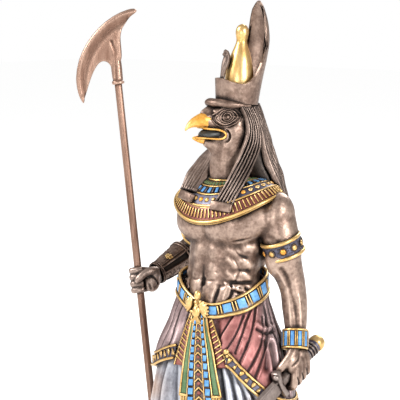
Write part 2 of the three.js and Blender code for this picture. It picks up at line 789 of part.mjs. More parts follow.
// The crescent blade, drawn flat with X to the right and Y up from the top of its socket's mouth
function crescentSolid() {
  const shape = new THREE.Shape();
  shape.moveTo(1.6, 15);
  shape.bezierCurveTo(1.2, 21, -1.2, 25, 4.4, 31.5);
  shape.bezierCurveTo(6.4, 34, 8.6, 35.5, 9.4, 37.2);
  shape.bezierCurveTo(9.4, 38.9, 7, 38.9, 5, 38.4);
  shape.bezierCurveTo(-8, 34.5, -21.5, 19, -21.6, 3);
  shape.bezierCurveTo(-21.4, -3, -20, -7.5, -17.9, -9.9);
  shape.bezierCurveTo(-16.4, -9, -16.2, -5, -15.2, -1);
  shape.bezierCurveTo(-13.6, 5, -10.6, 11.6, -7.6, 11.8);
  shape.bezierCurveTo(-5.2, 11.6, -3.6, 9, -2.8, 5);
  shape.lineTo(1.6, 5);
  const blade = plate(shape.getPoints(4), 2.8, 1.1)
    .rotate([90, 0, viewTurn])
    .translate(shaftPoint(shaft.mouth).toArray());
  const socketRows = [
    [0, 3.1],
    [1.2, 3.3],
    [1.6, 2.9],
    [9, 2.9],
    [15, 2.2],
    [21, 1.3],
  ];
  const socket = staffBody(socketRows.map(([above, radius]) => [shaft.mouth + above, radius]));
  const bore = staffBody([[shaft.mouth - 4, shaft.radius + fit], [shaft.topZ + fit, shaft.radius + fit]]);
  return socket.add(blade).subtract(bore);
}

function plinthSolid() {
  const ringAt = (z, inset) => {
    const [w, d] = [plinth.width / 2 - inset, plinth.depth / 2 - inset];
    const radius = plinth.corner - inset * 0.5;
    const corners = [[1, 1, 0], [-1, 1, 90], [-1, -1, 180], [1, -1, 270]];
    return corners.flatMap(([sx, sy, start]) =>
      Array.from({ length: 6 }, (unused, i) => {
        const angle = (start + i * 18) * degrees;
        const [x, y] = [radius * Math.cos(angle), radius * Math.sin(angle)];
        return point(sx * (w - radius) + x, sy * (d - radius) + y, z);
      }),
    );
  };
  return loft([
    ringAt(0, 0),
    ringAt(plinth.step, 0),
    ringAt(plinth.step + 0.8, 1.2),
    ringAt(plinth.height - 3, 1.8),
    ringAt(plinth.height - 2.4, 1),
    ringAt(plinth.height - 0.6, 1),
    ringAt(plinth.height, 1.6),
  ]);
}

const statuette = new THREE.Group();
statuette.name = "horus_statuette";
statuette.add(
  meshOf(figure(), "figure", 0x7a6a60, 0.45, 0.6),
  meshOf(plinthSolid(), "plinth", 0x5c4a40, 0.55, 0.5),
  meshOf(shaftSolid(shaft.radius, plinth.height), "staff_shaft", 0x7d5a46, 0.45, 0.5),
  meshOf(crescentSolid(), "staff_blade", 0x7d6455, 0.4, 0.6),
  meshOf(swordSolid(), "sword", 0x8a7668, 0.4, 0.6),
);

export default statuette;
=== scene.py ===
import bpy
import bmesh
import math
import random
import numpy as np
from mathutils import Matrix, Quaternion, Vector
from mathutils.bvhtree import BVHTree


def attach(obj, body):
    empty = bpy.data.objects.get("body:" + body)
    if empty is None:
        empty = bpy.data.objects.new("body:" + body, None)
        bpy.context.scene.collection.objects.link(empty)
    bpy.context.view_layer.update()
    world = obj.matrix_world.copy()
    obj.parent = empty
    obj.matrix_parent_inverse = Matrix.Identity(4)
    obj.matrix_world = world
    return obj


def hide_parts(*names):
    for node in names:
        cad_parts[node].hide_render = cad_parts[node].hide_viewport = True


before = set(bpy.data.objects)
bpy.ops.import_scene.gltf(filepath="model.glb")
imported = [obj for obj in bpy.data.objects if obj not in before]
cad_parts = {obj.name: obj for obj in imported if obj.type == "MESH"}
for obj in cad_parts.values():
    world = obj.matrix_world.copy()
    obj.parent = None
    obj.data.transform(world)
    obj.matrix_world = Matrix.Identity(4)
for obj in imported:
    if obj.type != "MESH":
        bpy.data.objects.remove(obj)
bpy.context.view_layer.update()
mm = 0.001
random.seed(7)

# Studio, seen from the figure's front left at the photograph's height
studio = {
    "azimuth": 42, "elevation": 6, "distance": 1.2, "target": (-8.5, -7.7, 186), "tall": 200,
    "worldLight": 0.26, "backdrop": 1.0, "floorColour": (0.5, 0.5, 0.495, 1), "floorGlow": 0.84,
}


def lookFrom(rig, place, target):
    rig.location = place
    rig.rotation_euler = (Vector(target) - Vector(place)).to_track_quat("-Z", "Y").to_euler()
    bpy.context.collection.objects.link(rig)


def addCamera():
    lens = bpy.data.cameras.new("camera")
    rig = bpy.data.objects.new("camera", lens)
    a, e = math.radians(studio["azimuth"]), math.radians(studio["elevation"])
    away = Vector((math.sin(a) * math.cos(e), -math.cos(a) * math.cos(e), math.sin(e)))
    target = Vector(studio["target"]) * mm
    lookFrom(rig, target + away * studio["distance"], target)
    lens.sensor_width = 36
    lens.lens = lens.sensor_width * studio["distance"] / (studio["tall"] * mm)
    lens.clip_start, lens.clip_end = 0.05, 20
    bpy.context.scene.camera = rig


def addLamp(name, place, target, size, power, colour=(1, 1, 1)):
    lamp = bpy.data.lights.new(name, "AREA")
    lamp.size, lamp.energy, lamp.color = size, power, colour
    lookFrom(bpy.data.objects.new(name, lamp), place, target)


addCamera()
addLamp("keyLamp", (-0.75, -0.9, 1.0), (0, 0, 0.17), 0.55, 26)
addLamp("sideLamp", (1.3, -0.15, 0.6), (0, 0, 0.17), 0.45, 20)
addLamp("frontLamp", (0.5, -1.3, 0.35), (0, 0, 0.17), 0.4, 6)
addLamp("backLamp", (-0.3, 1.2, 1.1), (0, 0, 0.17), 0.8, 16)

bpy.context.scene.view_settings.view_transform = "Standard"
world = bpy.data.worlds.new("studio")
bpy.context.scene.world = world
world.use_nodes = True
sky = world.node_tree.nodes["Background"]
sky.inputs["Color"].default_value = (1, 1, 1, 1)
# The backdrop is white to the eye, and dimmer as a light
eye = world.node_tree.nodes.new("ShaderNodeLightPath")
level = world.node_tree.nodes.new("ShaderNodeMapRange")
level.inputs["To Min"].default_value = studio["worldLight"]
level.inputs["To Max"].default_value = studio["backdrop"]
world.node_tree.links.new(eye.outputs["Is Camera Ray"], level.inputs["Value"])
world.node_tree.links.new(level.outputs["Result"], sky.inputs["Strength"])
print("studio ready")


# Materials
def newMaterial(name):
    material = bpy.data.materials.new(name)
    material.use_nodes = True
    nodes = material.node_tree.nodes
    return material, nodes, material.node_tree.links, nodes["Principled BSDF"]


def ramp(nodes, stops):
    node = nodes.new("ShaderNodeValToRGB")
    elements = node.color_ramp.elements
    while len(elements) < len(stops):
        elements.new(0.5)
    for element, (place, colour) in zip(elements, stops):
        element.position = place
        element.color = (*colour, 1)
    return node


def noise(nodes, links, coords, scale, detail=4, roughness=0.55, stretch=(1, 1, 1)):
    mapping = nodes.new("ShaderNodeMapping")
    mapping.inputs["Scale"].default_value = stretch
    links.new(coords, mapping.inputs["Vector"])
    node = nodes.new("ShaderNodeTexNoise")
    node.inputs["Scale"].default_value = scale
    node.inputs["Detail"].default_value = detail
    node.inputs["Roughness"].default_value = roughness
    links.new(mapping.outputs["Vector"], node.inputs["Vector"])
    return node.outputs["Fac"]


def math2(nodes, links, kind, a, b, clamp=False):
    node = nodes.new("ShaderNodeMath")
    node.operation, node.use_clamp = kind, clamp
    for socket, value in zip(node.inputs, (a, b)):
        if isinstance(value, (int, float)):
            socket.default_value = value
        else:
            links.new(value, socket)
    return node.outputs["Value"]


def castMetal(name, dark, body, bright, metallic=0.7, rough=(0.34, 0.55), reach=1.6, washAndShade=0.75,
              grain=(2600, 0.12), patch=110, streak=(1, 1, 1), relief=False, tint=None, mottling=0.9):
    # Cast resin under a rubbed metal paint: dark wash plus painted shade in the hollows and gaps, rubbed paint plus
    # painted highlight on high spots, fine grain
    material, nodes, links, shader = newMaterial(name)
    coords = nodes.new("ShaderNodeTexCoord").outputs["Object"]
    # Ambient occlusion darkens creases and gaps between pieces: partly the real dark wash, partly painted shade
    nearby = nodes.new("ShaderNodeAmbientOcclusion")
    nearby.samples = 6
    nearby.inputs["Distance"].default_value = reach * mm
    openness = math2(nodes, links, "POWER", nearby.outputs["AO"], 1.5)
    large = noise(nodes, links, coords, patch, 5, 0.6, streak)
    small = noise(nodes, links, coords, patch * 6, 4, 0.6, streak)
    mottle = math2(nodes, links, "ADD", math2(nodes, links, "MULTIPLY", large, 0.6),
                   math2(nodes, links, "MULTIPLY", small, 0.4))
    shade = math2(nodes, links, "MULTIPLY", math2(nodes, links, "SUBTRACT", openness, 1), washAndShade)
    tone = math2(nodes, links, "ADD", math2(nodes, links, "ADD", shade, 0.56),
                 math2(nodes, links, "MULTIPLY", math2(nodes, links, "SUBTRACT", mottle, 0.5), mottling), True)
    # Raised points turn lighter and recesses darker: rubbed paint and wash, partly painted highlight and painted shade
    if relief:
        height = nodes.new("ShaderNodeAttribute")
        height.attribute_name = "relief"
        tone = math2(nodes, links, "ADD", tone,
                     math2(nodes, links, "MULTIPLY",
                           math2(nodes, links, "SUBTRACT", height.outputs["Fac"], 0.5), relief), True)
    colours = ramp(nodes, [(0.12, dark), (0.5, body), (0.92, bright)])
    links.new(tone, colours.inputs["Fac"])
    colour = colours.outputs["Color"]
    if tint:
        # Where the piece's own tint is strong, another set of tones takes over
        others = ramp(nodes, [(0.12, tint[0]), (0.5, tint[1]), (0.92, tint[2])])
        links.new(tone, others.inputs["Fac"])
        amount = nodes.new("ShaderNodeAttribute")
        amount.attribute_name = "tint"
        blend = nodes.new("ShaderNodeMix")
        blend.data_type = "RGBA"
        links.new(amount.outputs["Fac"], blend.inputs["Factor"])
        links.new(colour, blend.inputs["A"])
        links.new(others.outputs["Color"], blend.inputs["B"])
        colour = blend.outputs["Result"]
    links.new(colour, shader.inputs["Base Color"])
    shader.inputs["Metallic"].default_value = metallic
    spread = nodes.new("ShaderNodeMapRange")
    spread.inputs["To Min"].default_value = rough[1]
    spread.inputs["To Max"].default_value = rough[0]
    links.new(tone, spread.inputs["Value"])
    links.new(spread.outputs["Result"], shader.inputs["Roughness"])
    fine = noise(nodes, links, coords, grain[0], 3, 0.6)
    bump = nodes.new("ShaderNodeBump")
    bump.inputs["Strength"].default_value = grain[1]
    bump.inputs["Distance"].default_value = 0.3 * mm
    height = math2(nodes, links, "ADD", fine, math2(nodes, links, "MULTIPLY", small, 0.8))
    links.new(height, bump.inputs["Height"])
    links.new(bump.outputs["Normal"], shader.inputs["Normal"])
    return material


# Skin bronze: rubbed paint and dark wash, with painted highlight on raised points and painted shade in hollows
bronze = castMetal("rubbedShadedBronze", (0.012, 0.007, 0.005), (0.165, 0.105, 0.079), (0.50, 0.365, 0.29), reach=2.6, washAndShade=1.1, relief=1.1, mottling=1.25)
darkBronze = castMetal("darkBronze", (0.010, 0.007, 0.006), (0.11, 0.077, 0.062), (0.40, 0.30, 0.25), washAndShade=1.0, relief=1.0)
hairBronze = castMetal("hairBronze", (0.008, 0.005, 0.004), (0.16, 0.112, 0.09), (0.52, 0.40, 0.335), reach=1.6, washAndShade=1.3)
goldPaint = castMetal("goldPaint", (0.05, 0.018, 0.005), (0.60, 0.36, 0.115), (0.95, 0.76, 0.42), metallic=0.7, washAndShade=1.15,
                      rough=(0.25, 0.45), reach=0.9)
beakGold = castMetal("beakGold", (0.14, 0.05, 0.01), (0.68, 0.32, 0.05), (0.93, 0.64, 0.24), metallic=0.4, washAndShade=1.0, mottling=1.3,
                     rough=(0.3, 0.45), reach=1.2)
blueEnamel = castMetal("blueEnamel", (0.008, 0.015, 0.03), (0.065, 0.215, 0.46), (0.24, 0.50, 0.78), metallic=0.15, washAndShade=1.0, mottling=1.4,
                       rough=(0.3, 0.5), reach=0.7)
greenEnamel = castMetal("greenEnamel", (0.012, 0.018, 0.008), (0.055, 0.12, 0.045), (0.2, 0.3, 0.14), metallic=0.15,
                        rough=(0.35, 0.5), reach=0.7)
redEnamel = castMetal("redEnamel", (0.02, 0.006, 0.006), (0.20, 0.05, 0.04), (0.42, 0.17, 0.13), metallic=0.25,
                      rough=(0.35, 0.5), reach=0.8)
blackEnamel = castMetal("blackEnamel", (0.008, 0.007, 0.012), (0.04, 0.035, 0.055), (0.16, 0.14, 0.19), metallic=0.3,
                        rough=(0.35, 0.5), reach=0.7)
studBlack = castMetal("studBlack", (0.008, 0.007, 0.012), (0.05, 0.045, 0.07), (0.26, 0.25, 0.33), metallic=0.4,
                     rough=(0.35, 0.5), reach=0.6, patch=420)
orangeGlaze = castMetal("orangeGlaze", (0.12, 0.03, 0.005), (0.72, 0.3, 0.04), (0.9, 0.52, 0.14), metallic=0.4,
                        rough=(0.25, 0.4), reach=0.6)
kiltMauve = castMetal("kiltMauve", (0.016, 0.009, 0.009), (0.135, 0.085, 0.082), (0.36, 0.26, 0.255), metallic=0.5, washAndShade=1.1,
                      rough=(0.4, 0.58), reach=1.8, relief=0.8, tint=((0.018, 0.004, 0.004), (0.175, 0.05, 0.046), (0.42, 0.185, 0.165)))
skirtGrey = castMetal("skirtGrey", (0.015, 0.015, 0.02), (0.165, 0.17, 0.20), (0.52, 0.53, 0.58), metallic=0.5, washAndShade=1.0,
                      rough=(0.38, 0.55), reach=2.2, relief=0.8, tint=((0.04, 0.02, 0.015), (0.30, 0.19, 0.14), (0.6, 0.44, 0.36)))
# Near-black bronze used as painted shade in gaps: the wig's core and the bracer's gap
paintedShade = castMetal("paintedShade", (0.006, 0.004, 0.004), (0.03, 0.022, 0.018), (0.10, 0.075, 0.06), reach=2)
staffBrown = castMetal("staffBrown", (0.02, 0.010, 0.006), (0.185, 0.10, 0.068), (0.44, 0.29, 0.22), relief=0.8,
                       streak=(1, 1, 0.12))
bladeSteel = castMetal("bladeSteel", (0.03, 0.02, 0.017), (0.21, 0.165, 0.145), (0.50, 0.42, 0.38), metallic=0.75, rough=(0.3, 0.48),
                       streak=(1, 1, 1), relief=0.6)
sandalBrown = castMetal("sandalBrown", (0.03, 0.014, 0.009), (0.17, 0.09, 0.06), (0.38, 0.24, 0.17), metallic=0.35, rough=(0.42, 0.6))
plinthBronze = castMetal("plinthBronze", (0.02, 0.014, 0.012), (0.12, 0.088, 0.072), (0.34, 0.26, 0.215), metallic=0.6, rough=(0.38, 0.56),
                         patch=70, reach=2.5)
mouthDark = castMetal("mouthDark", (0.004, 0.004, 0.004), (0.03, 0.03, 0.028), (0.1, 0.1, 0.09), metallic=0.2)
print("materials ready")


# Mesh helpers
def addPiece(bm, name, materials, flat=False):
    mesh = bpy.data.meshes.new(name)
    bm.to_mesh(mesh)
    bm.free()
    return addMesh(mesh, name, materials, flat)


def addMesh(mesh, name, materials, flat=False):
    mesh.name = name
    for material in materials:
        mesh.materials.append(material)
    if "relief" not in mesh.attributes:
        mesh.attributes.new("relief", "FLOAT", "POINT").data.foreach_set("value", [0.5] * len(mesh.vertices))
    mesh.polygons.foreach_set("use_smooth", [not flat] * len(mesh.polygons))
    piece = bpy.data.objects.new(name, mesh)
    bpy.context.collection.objects.link(piece)
    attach(piece, "root")
    return piece


def settled(piece):
    # The piece's mesh with its modifiers applied
    graph = bpy.context.evaluated_depsgraph_get()
    graph.update()
    mesh = bpy.data.meshes.new_from_object(piece.evaluated_get(graph))
    old = piece.data
    piece.modifiers.clear()
    piece.data = mesh
    bpy.data.meshes.remove(old)
    return piece


def fuse(bm, name, voxel, smooth=6, factor=0.5, finer=0, uneven=0.0, grainSize=5.0):
    # Joins overlapping closed forms into one skin of even small faces, and softens where they meet
    mesh = bpy.data.meshes.new(name)
    bm.to_mesh(mesh)
    bm.free()
    piece = bpy.data.objects.new(name, mesh)
    bpy.context.collection.objects.link(piece)
    remesh = piece.modifiers.new("skin", "REMESH")
    remesh.mode, remesh.voxel_size = "VOXEL", voxel * mm
    soften = piece.modifiers.new("soften", "SMOOTH")
    soften.factor, soften.iterations = factor, smooth
    if finer:
        divide = piece.modifiers.new("finer", "SUBSURF")
        divide.levels = divide.render_levels = finer
    if uneven:
        handwork = piece.modifiers.new("handwork", "DISPLACE")
        handwork.texture = bpy.data.textures.new(name + "Clay", "CLOUDS")
        handwork.texture.noise_scale = grainSize * mm
        handwork.texture.noise_depth = 3
        handwork.strength = uneven * 2 * mm
    settled(piece)
    mesh = piece.data
    bpy.data.objects.remove(piece)
    return mesh


def lump(bm, centre, size, turn=(0, 0, 0), detail=3):
    # An ellipsoid: a centre, three half sizes and turns in degrees about X, Y and Z
    spin = Matrix.Rotation(math.radians(turn[2]), 4, "Z") @ Matrix.Rotation(math.radians(turn[1]), 4, "Y")
    spin = spin @ Matrix.Rotation(math.radians(turn[0]), 4, "X")
    place = Matrix.Translation(Vector(centre) * mm) @ spin @ Matrix.Diagonal((*(Vector(size) * mm), 1))
    bmesh.ops.create_icosphere(bm, subdivisions=detail, radius=1, matrix=place)


def smoothPath(points, count):
    # Even steps along a Catmull-Rom line; each point may carry extra numbers after x, y and z
    points = [np.array(p, float) for p in points]
    padded = [2 * points[0] - points[1], *points, 2 * points[-1] - points[-2]]
    path = []
    for i in range(count + 1):
        t = i / count * (len(points) - 1)
        k = min(int(t), len(points) - 2)
        t -= k
        a, b, c, d = padded[k:k + 4]
        path.append(0.5 * (2 * b + (c - a) * t + (2 * a - 5 * b + 4 * c - d) * t * t
                           + (3 * b - a - 3 * c + d) * t ** 3))
    return path


def tube(bm, rows, sides=16, count=None, across=(0, 1, 0), material=0):
    # A closed form of oval rings along a line: x, y, z and two half widths, the first across the given way
    path = smoothPath(rows, count or (len(rows) - 1) * 3)
    rings = []
    for i, row in enumerate(path):
        along = Vector(path[min(i + 1, len(path) - 1)][:3] - path[max(i - 1, 0)][:3]).normalized()
        u = Vector(across).cross(along).normalized()
        turn = Matrix((u * row[3] * mm, along.cross(u) * row[4] * mm, along)).transposed().to_4x4()
        place = Matrix.Translation(Vector(row[:3]) * mm) @ turn
        made = bmesh.ops.create_circle(bm, segments=sides, radius=1, matrix=place)
        rings.append(made["verts"])
    edges = [{e for v in ring for e in v.link_edges} for ring in rings]
    for low, high in zip(edges, edges[1:]):
        made = bmesh.ops.bridge_loops(bm, edges=list(low | high))
        for face in made["faces"]:
            face.material_index = material
    for ring in (edges[0], edges[-1]):
        for face in bmesh.ops.holes_fill(bm, edges=list(ring))["faces"]:
            face.material_index = material
    return rings


def carve(mesh, strokes):
    # Cuts or raises soft lines on a finished skin. A stroke is points, width and depth; a raised one is negative
    count = len(mesh.vertices)
    places = np.empty(count * 3)
    normals = np.empty(count * 3)
    mesh.vertices.foreach_get("co", places)
    mesh.vertices.foreach_get("normal", normals)
    places, normals = places.reshape(-1, 3) / mm, normals.reshape(-1, 3)
    shift = np.zeros(count)
    for points, width, depth in strokes:
        points = [np.array(p[:3], float) for p in points]
        if len(points) > 2:
            points = smoothPath(points, (len(points) - 1) * 4)
        nearest = np.full(count, 1e9)
        low, high = np.min(points, axis=0) - 3 * width, np.max(points, axis=0) + 3 * width
        near = np.where(np.all((places > low) & (places < high), axis=1))[0]
        here = places[near]
        closest = np.full(len(near), 1e9)
        for a, b in zip(points, points[1:]):
            line = b - a
            t = np.clip((here - a) @ line / max(line @ line, 1e-9), 0, 1)
            closest = np.minimum(closest, np.linalg.norm(here - a - t[:, None] * line, axis=1))
        shift[near] -= depth * np.exp(-(closest / width) ** 2)
    places += normals * shift[:, None]
    mesh.vertices.foreach_set("co", (places * mm).ravel())
    mesh.update()


def markRelief(mesh, rounds=14, gain=1.4):
    # Stores how far each point stands out of the softened skin, for the rubbed paint and wash with painted highlight on
    # raised points and painted shade in recesses
    count = len(mesh.vertices)
    places = np.empty(count * 3)
    normals = np.empty(count * 3)
    ends = np.empty(len(mesh.edges) * 2, dtype=np.int64)
    mesh.vertices.foreach_get("co", places)
    mesh.vertices.foreach_get("normal", normals)
    mesh.edges.foreach_get("vertices", ends)
    places, normals, ends = places.reshape(-1, 3) / mm, normals.reshape(-1, 3), ends.reshape(-1, 2)
    degree = np.bincount(ends.ravel(), minlength=count).astype(float)[:, None]
    soft = places.copy()
    for _ in range(rounds):
        total = np.zeros_like(soft)
        for axis in range(3):
            total[:, axis] = (np.bincount(ends[:, 0], soft[ends[:, 1], axis], count)
                              + np.bincount(ends[:, 1], soft[ends[:, 0], axis], count))
        soft = 0.3 * soft + 0.7 * total / np.maximum(degree, 1)
    height = np.einsum("ij,ij->i", places - soft, normals)
    attribute = mesh.attributes.new("relief", "FLOAT", "POINT")
    attribute.data.foreach_set("value", np.clip(0.5 + height * gain, 0, 1))


def pair(bm, centre, size, turn=(0, 0, 0), detail=3):
    # The same form on the figure's left and right
    lump(bm, centre, size, turn, detail)
    lump(bm, (-centre[0], centre[1], centre[2]), size, (turn[0], -turn[1], -turn[2]), detail)


def bothSides(strokes):
    return [([(side * x, y, z) for x, y, z in line], width, depth) for side in (-1, 1) for line, width, depth in strokes]


# Trunk: x, y, z and half widths; muscles: centre, half sizes, turns
trunk = {
    "core": [(0, 0, 122, 24.6, 19), (0, 0, 131, 24, 18), (0.1, 0.1, 140, 22, 16.6), (0.3, 0.4, 149, 19.9, 15),
             (0.7, 1.2, 158, 20, 15), (0.7, 2.8, 167, 21.2, 15.2), (0.2, 4.6, 176, 23, 15), (0, 6.4, 184, 22, 13.2),
             (0, 7, 190, 16, 11), (-0.6, 6.6, 195, 10.5, 9.6), (-1, 6, 199, 8.5, 8.5)],
    "chest": [(-1.4, -6.8, 176, 6.4, 9), (5.4, -7.6, 175, 8.2, 9.8), (13, -6.2, 174.8, 8.8, 9.8), (19, -2.2, 176.2, 7.8, 8.8), (24.6, 3.4, 179.4, 6.6, 7.6)],
    "muscles": [
        ((16, 10, 168), (8, 7.4, 17), (0, 10, -24)), ((8, 12, 180), (11, 7, 12), (0, -8, 6)),
        ((5.4, 8.6, 150), (5, 6.4, 22), (2, 2, 0)), ((9.4, 8.6, 190.4), (12, 7, 6), (0, 26, 10)),
        ((14, 13, 182), (10, 6, 9), (0, 20, -16)),
    ],
}
leftArm = {
    "line": [(24.8, 8.8, 187.2, 7, 7.4), (27, 9, 181.6, 8.8, 9), (29.3, 9.2, 172, 9.2, 9.4), (31.1, 9.8, 164, 9.2, 9.2),
             (31.5, 10, 157.4, 9, 9), (33.2, 11.6, 151, 7.5, 7.8), (35, 12.8, 143.6, 6.5, 6.8), (36.4, 12.7, 134.6, 6.4, 6.5),
             (38, 11.4, 126, 5.7, 5.7), (39.2, 9.9, 119.4, 5.2, 4.8), (40.1, 8.4, 113.6, 5, 4)],
    "muscles": [
        ((28.2, 8.6, 178.6), (8.8, 9.4, 13), (0, 8, 0)), ((25.2, 8.8, 185.2), (9, 8.4, 6), (0, 30, 0)),
        ((30.6, 5.8, 161), (6.6, 5.6, 12), (-6, 0, 0)), ((31.6, 14, 162), (6.4, 5.6, 13), (8, 0, 0)),
        ((36.6, 11, 140.6), (4.8, 5.2, 13), (8, -8, 0)),
    ],
}
rightArm = {
    "line": [(-23.6, 10.6, 187.2, 7, 7.4), (-26.4, 12.8, 181, 8.8, 9), (-31, 18, 173, 9.2, 9.2), (-36.6, 24, 165.6, 8.8, 8.8),
             (-42, 28.8, 160, 7.6, 7.4), (-44.4, 28.4, 156.4, 7, 7), (-45.2, 21, 153.2, 6.6, 6.6),
             (-45.8, 11, 148.8, 5.9, 5.9), (-46.6, 3, 145.2, 4.8, 4.5), (-47.6, -2.4, 142.8, 4.8, 4)],
    "muscles": [
        ((-28.4, 13, 178.6), (8.6, 8.8, 12), (0, -16, -10)), ((-24.4, 10.8, 185.2), (8.8, 8.2, 5.8), (0, -28, 0)),
        ((-34, 18.6, 168.6), (6, 6, 11), (28, -30, 0)), ((-36.4, 26, 168.6), (5.8, 5.8, 11), (34, -24, 0)),
    ],
}
sculpted = {"voxel": 1.0, "smooth": 9, "unevenness": 0.16, "hollows": 230}


def addArm(bm, arm):
    tube(bm, arm["line"], 24)
    for centre, size, turn in arm["muscles"]:
        lump(bm, centre, size, turn)


bm = bmesh.new()
tube(bm, trunk["core"], 32)
for side in (-1, 1):
    tube(bm, [(side * x, y, z, a, b) for x, y, z, a, b in trunk["chest"]], 24, None, (0, 0, 1))
for centre, size, turn in trunk["muscles"]:
    pair(bm, centre, size, turn)
addArm(bm, leftArm)
addArm(bm, rightArm)
skinMesh = fuse(bm, "skin", sculpted["voxel"], sculpted["smooth"], finer=1, uneven=sculpted["unevenness"])

# Muscles laid on as soft ridges, then the grooves between them
raised = bothSides([
    ([(5.4, -15, 162.6), (6, -15, 160.6)], 3.6, -1.3),
    ([(5.4, -15, 153.4), (6, -15, 151.6)], 3.6, -1.4),
    ([(5.2, -15.4, 144.4), (5, -15.6, 140), (4, -16, 134)], 4.0, -1.2),
    ([(13.2, -12, 163.4), (17, -9, 161.6)], 2.1, -0.9),
    ([(19.6, -4.4, 164), (21.4, 1, 163.2)], 2.2, -1.0),
    ([(13.8, -11.4, 158.2), (16.4, -9.2, 155.6)], 1.9, -0.9),
    ([(18.6, -5.8, 157.8), (19.8, -2, 155)], 1.9, -0.9),
    ([(13.4, -11.8, 151.8), (15.8, -9.8, 149.6)], 1.9, -0.8),
    ([(18.2, -6, 151.4), (19.4, -2.6, 149)], 1.8, -0.8),
    ([(13.4, -12.4, 145), (12.4, -13.4, 139)], 2.4, -0.9),
    ([(17.6, -8.8, 144.4), (19.8, -5, 142), (21, 0, 141.6)], 2.6, -1.1),
])
grooves = [
    ([(0.4, -17, 182), (0.4, -16.6, 176), (0.2, -15.8, 168), (0.3, -15.4, 160), (-0.1, -15.4, 150), (0.2, -16, 138), (0, -17, 130)], 0.8, 0.75),
    ([(0.4, -17, 173), (0.3, -16, 167)], 1.3, 0.6),
    ([(0.6, -16.4, 148), (0.6, -16.6, 146)], 1.25, 2.4),
    ([(35.6, 3.6, 154), (37.4, 5.4, 149), (38.9, 7, 142), (40.6, 8, 134), (41.4, 7.8, 126)], 1.7, 0.9),
    ([(27, 2.6, 171.4), (31, 0.8, 169.6), (34.4, 1.8, 167.6)], 1.8, 0.5),
    ([(0, 20.4, 186), (0, 18.6, 172), (0, 15.4, 158), (0, 14.6, 146), (0, 16, 134)], 1.5, 1.1),
    ([(32, 1.4, 157), (34.4, 3.4, 150.6), (36, 5.4, 146)], 0.5, -0.3),
    ([(41.6, 10, 141), (42.4, 10, 133), (43, 9.4, 126)], 0.5, -0.3),
    ([(37.6, 5.8, 138), (38.4, 6.4, 130), (39.4, 6.4, 122)], 0.45, -0.28),
    ([(11.6, -13.8, 158), (12, -13.8, 152), (12, -14, 146)], 1.3, 0.9),
] + bothSides([
    ([(1, -15.8, 166.8), (5, -16, 165.2), (11, -14.6, 164.6), (16, -11.6, 166), (20, -7, 168.4), (23.4, -3, 171.6)], 0.95, 1.0),
    ([(1, -16, 157), (4, -16.4, 156.4), (8, -15.6, 156.8), (11, -14, 157.8)], 0.65, 1.0),
    ([(1, -16, 148.2), (4, -16.4, 147.6), (8, -15.6, 148), (10.8, -14, 149.2)], 0.65, 1.0),
    ([(10.8, -13.8, 164.4), (10.2, -14.2, 159), (11, -14.2, 152), (10.2, -14.8, 145), (8.6, -15.8, 138), (7, -17, 131)], 0.85, 1.05),
    ([(15, -11, 160), (16.6, -9.6, 157.8), (18, -8, 153), (17, -9.4, 147.6)], 0.8, 0.8),
    ([(16.4, -9.4, 164), (17.6, -8, 160.6), (21, -3, 158.8)], 0.7, 0.75),
    ([(12, -13, 155.2), (15, -11, 153.2), (19, -6, 153), (21, -1, 151.6)], 0.65, 0.75),
    ([(12, -13.4, 148.6), (15, -11.4, 147.2), (19, -6.4, 146.8), (21.4, -1, 146.4)], 0.8, 0.9),
    ([(15.4, -11.4, 146.4), (15.8, -11.4, 141), (13, -14.4, 135)], 0.8, 0.8),
])
# Small tool marks, thickest on the ribs and flanks
marks = random.Random(11)
for _ in range(sculpted["hollows"]):
    z = marks.uniform(134, 166)
    angle = math.radians(marks.choice((-1, 1)) * marks.triangular(4, 88, 48))
    x, y = 22.4 * math.sin(angle), 0.6 - 16.6 * math.cos(angle)
    slope, reach = marks.uniform(-0.6, 1.2), marks.uniform(0.6, 2.4)
    along = math.copysign(1, x)
    strength = 1.6 if abs(math.degrees(angle)) > 34 else 0.8
    grooves.append(([(x, y, z), (x + along * reach * 0.8, y + reach * 0.5, z - reach * slope)],
                    marks.uniform(0.5, 1.2), strength * marks.uniform(-0.3, 0.45)))
carve(skinMesh, raised)
carve(skinMesh, grooves)
markRelief(skinMesh, 14, 1.7)
skin = addMesh(skinMesh, "skin", [bronze])
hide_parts("figure")
print("skin ready", len(skinMesh.polygons))


# The head turns to the figure's right: forward along the beak, left across the face
head = {"x": 0.8, "y": 8.8, "turn": 22, "voxel": 0.52, "smooth": 6}


def headPlace(forward, left, z, turn=head["turn"]):
    a = math.radians(turn)
    return (head["x"] - forward * math.sin(a) + left * math.cos(a), head["y"] - forward * math.cos(a) - left * math.sin(a), z)


def headLump(bm, centre, size, tilt=0, lean=0):
    # Half sizes are across, along the beak and up
    lump(bm, headPlace(*centre), size, (tilt, lean, -head["turn"]))


def headTube(bm, rows, sides=20, count=None, material=0):
    return tube(bm, [(*headPlace(f, l, z), a, b) for f, l, z, a, b in rows], sides, count, (0, 0, 1), material)


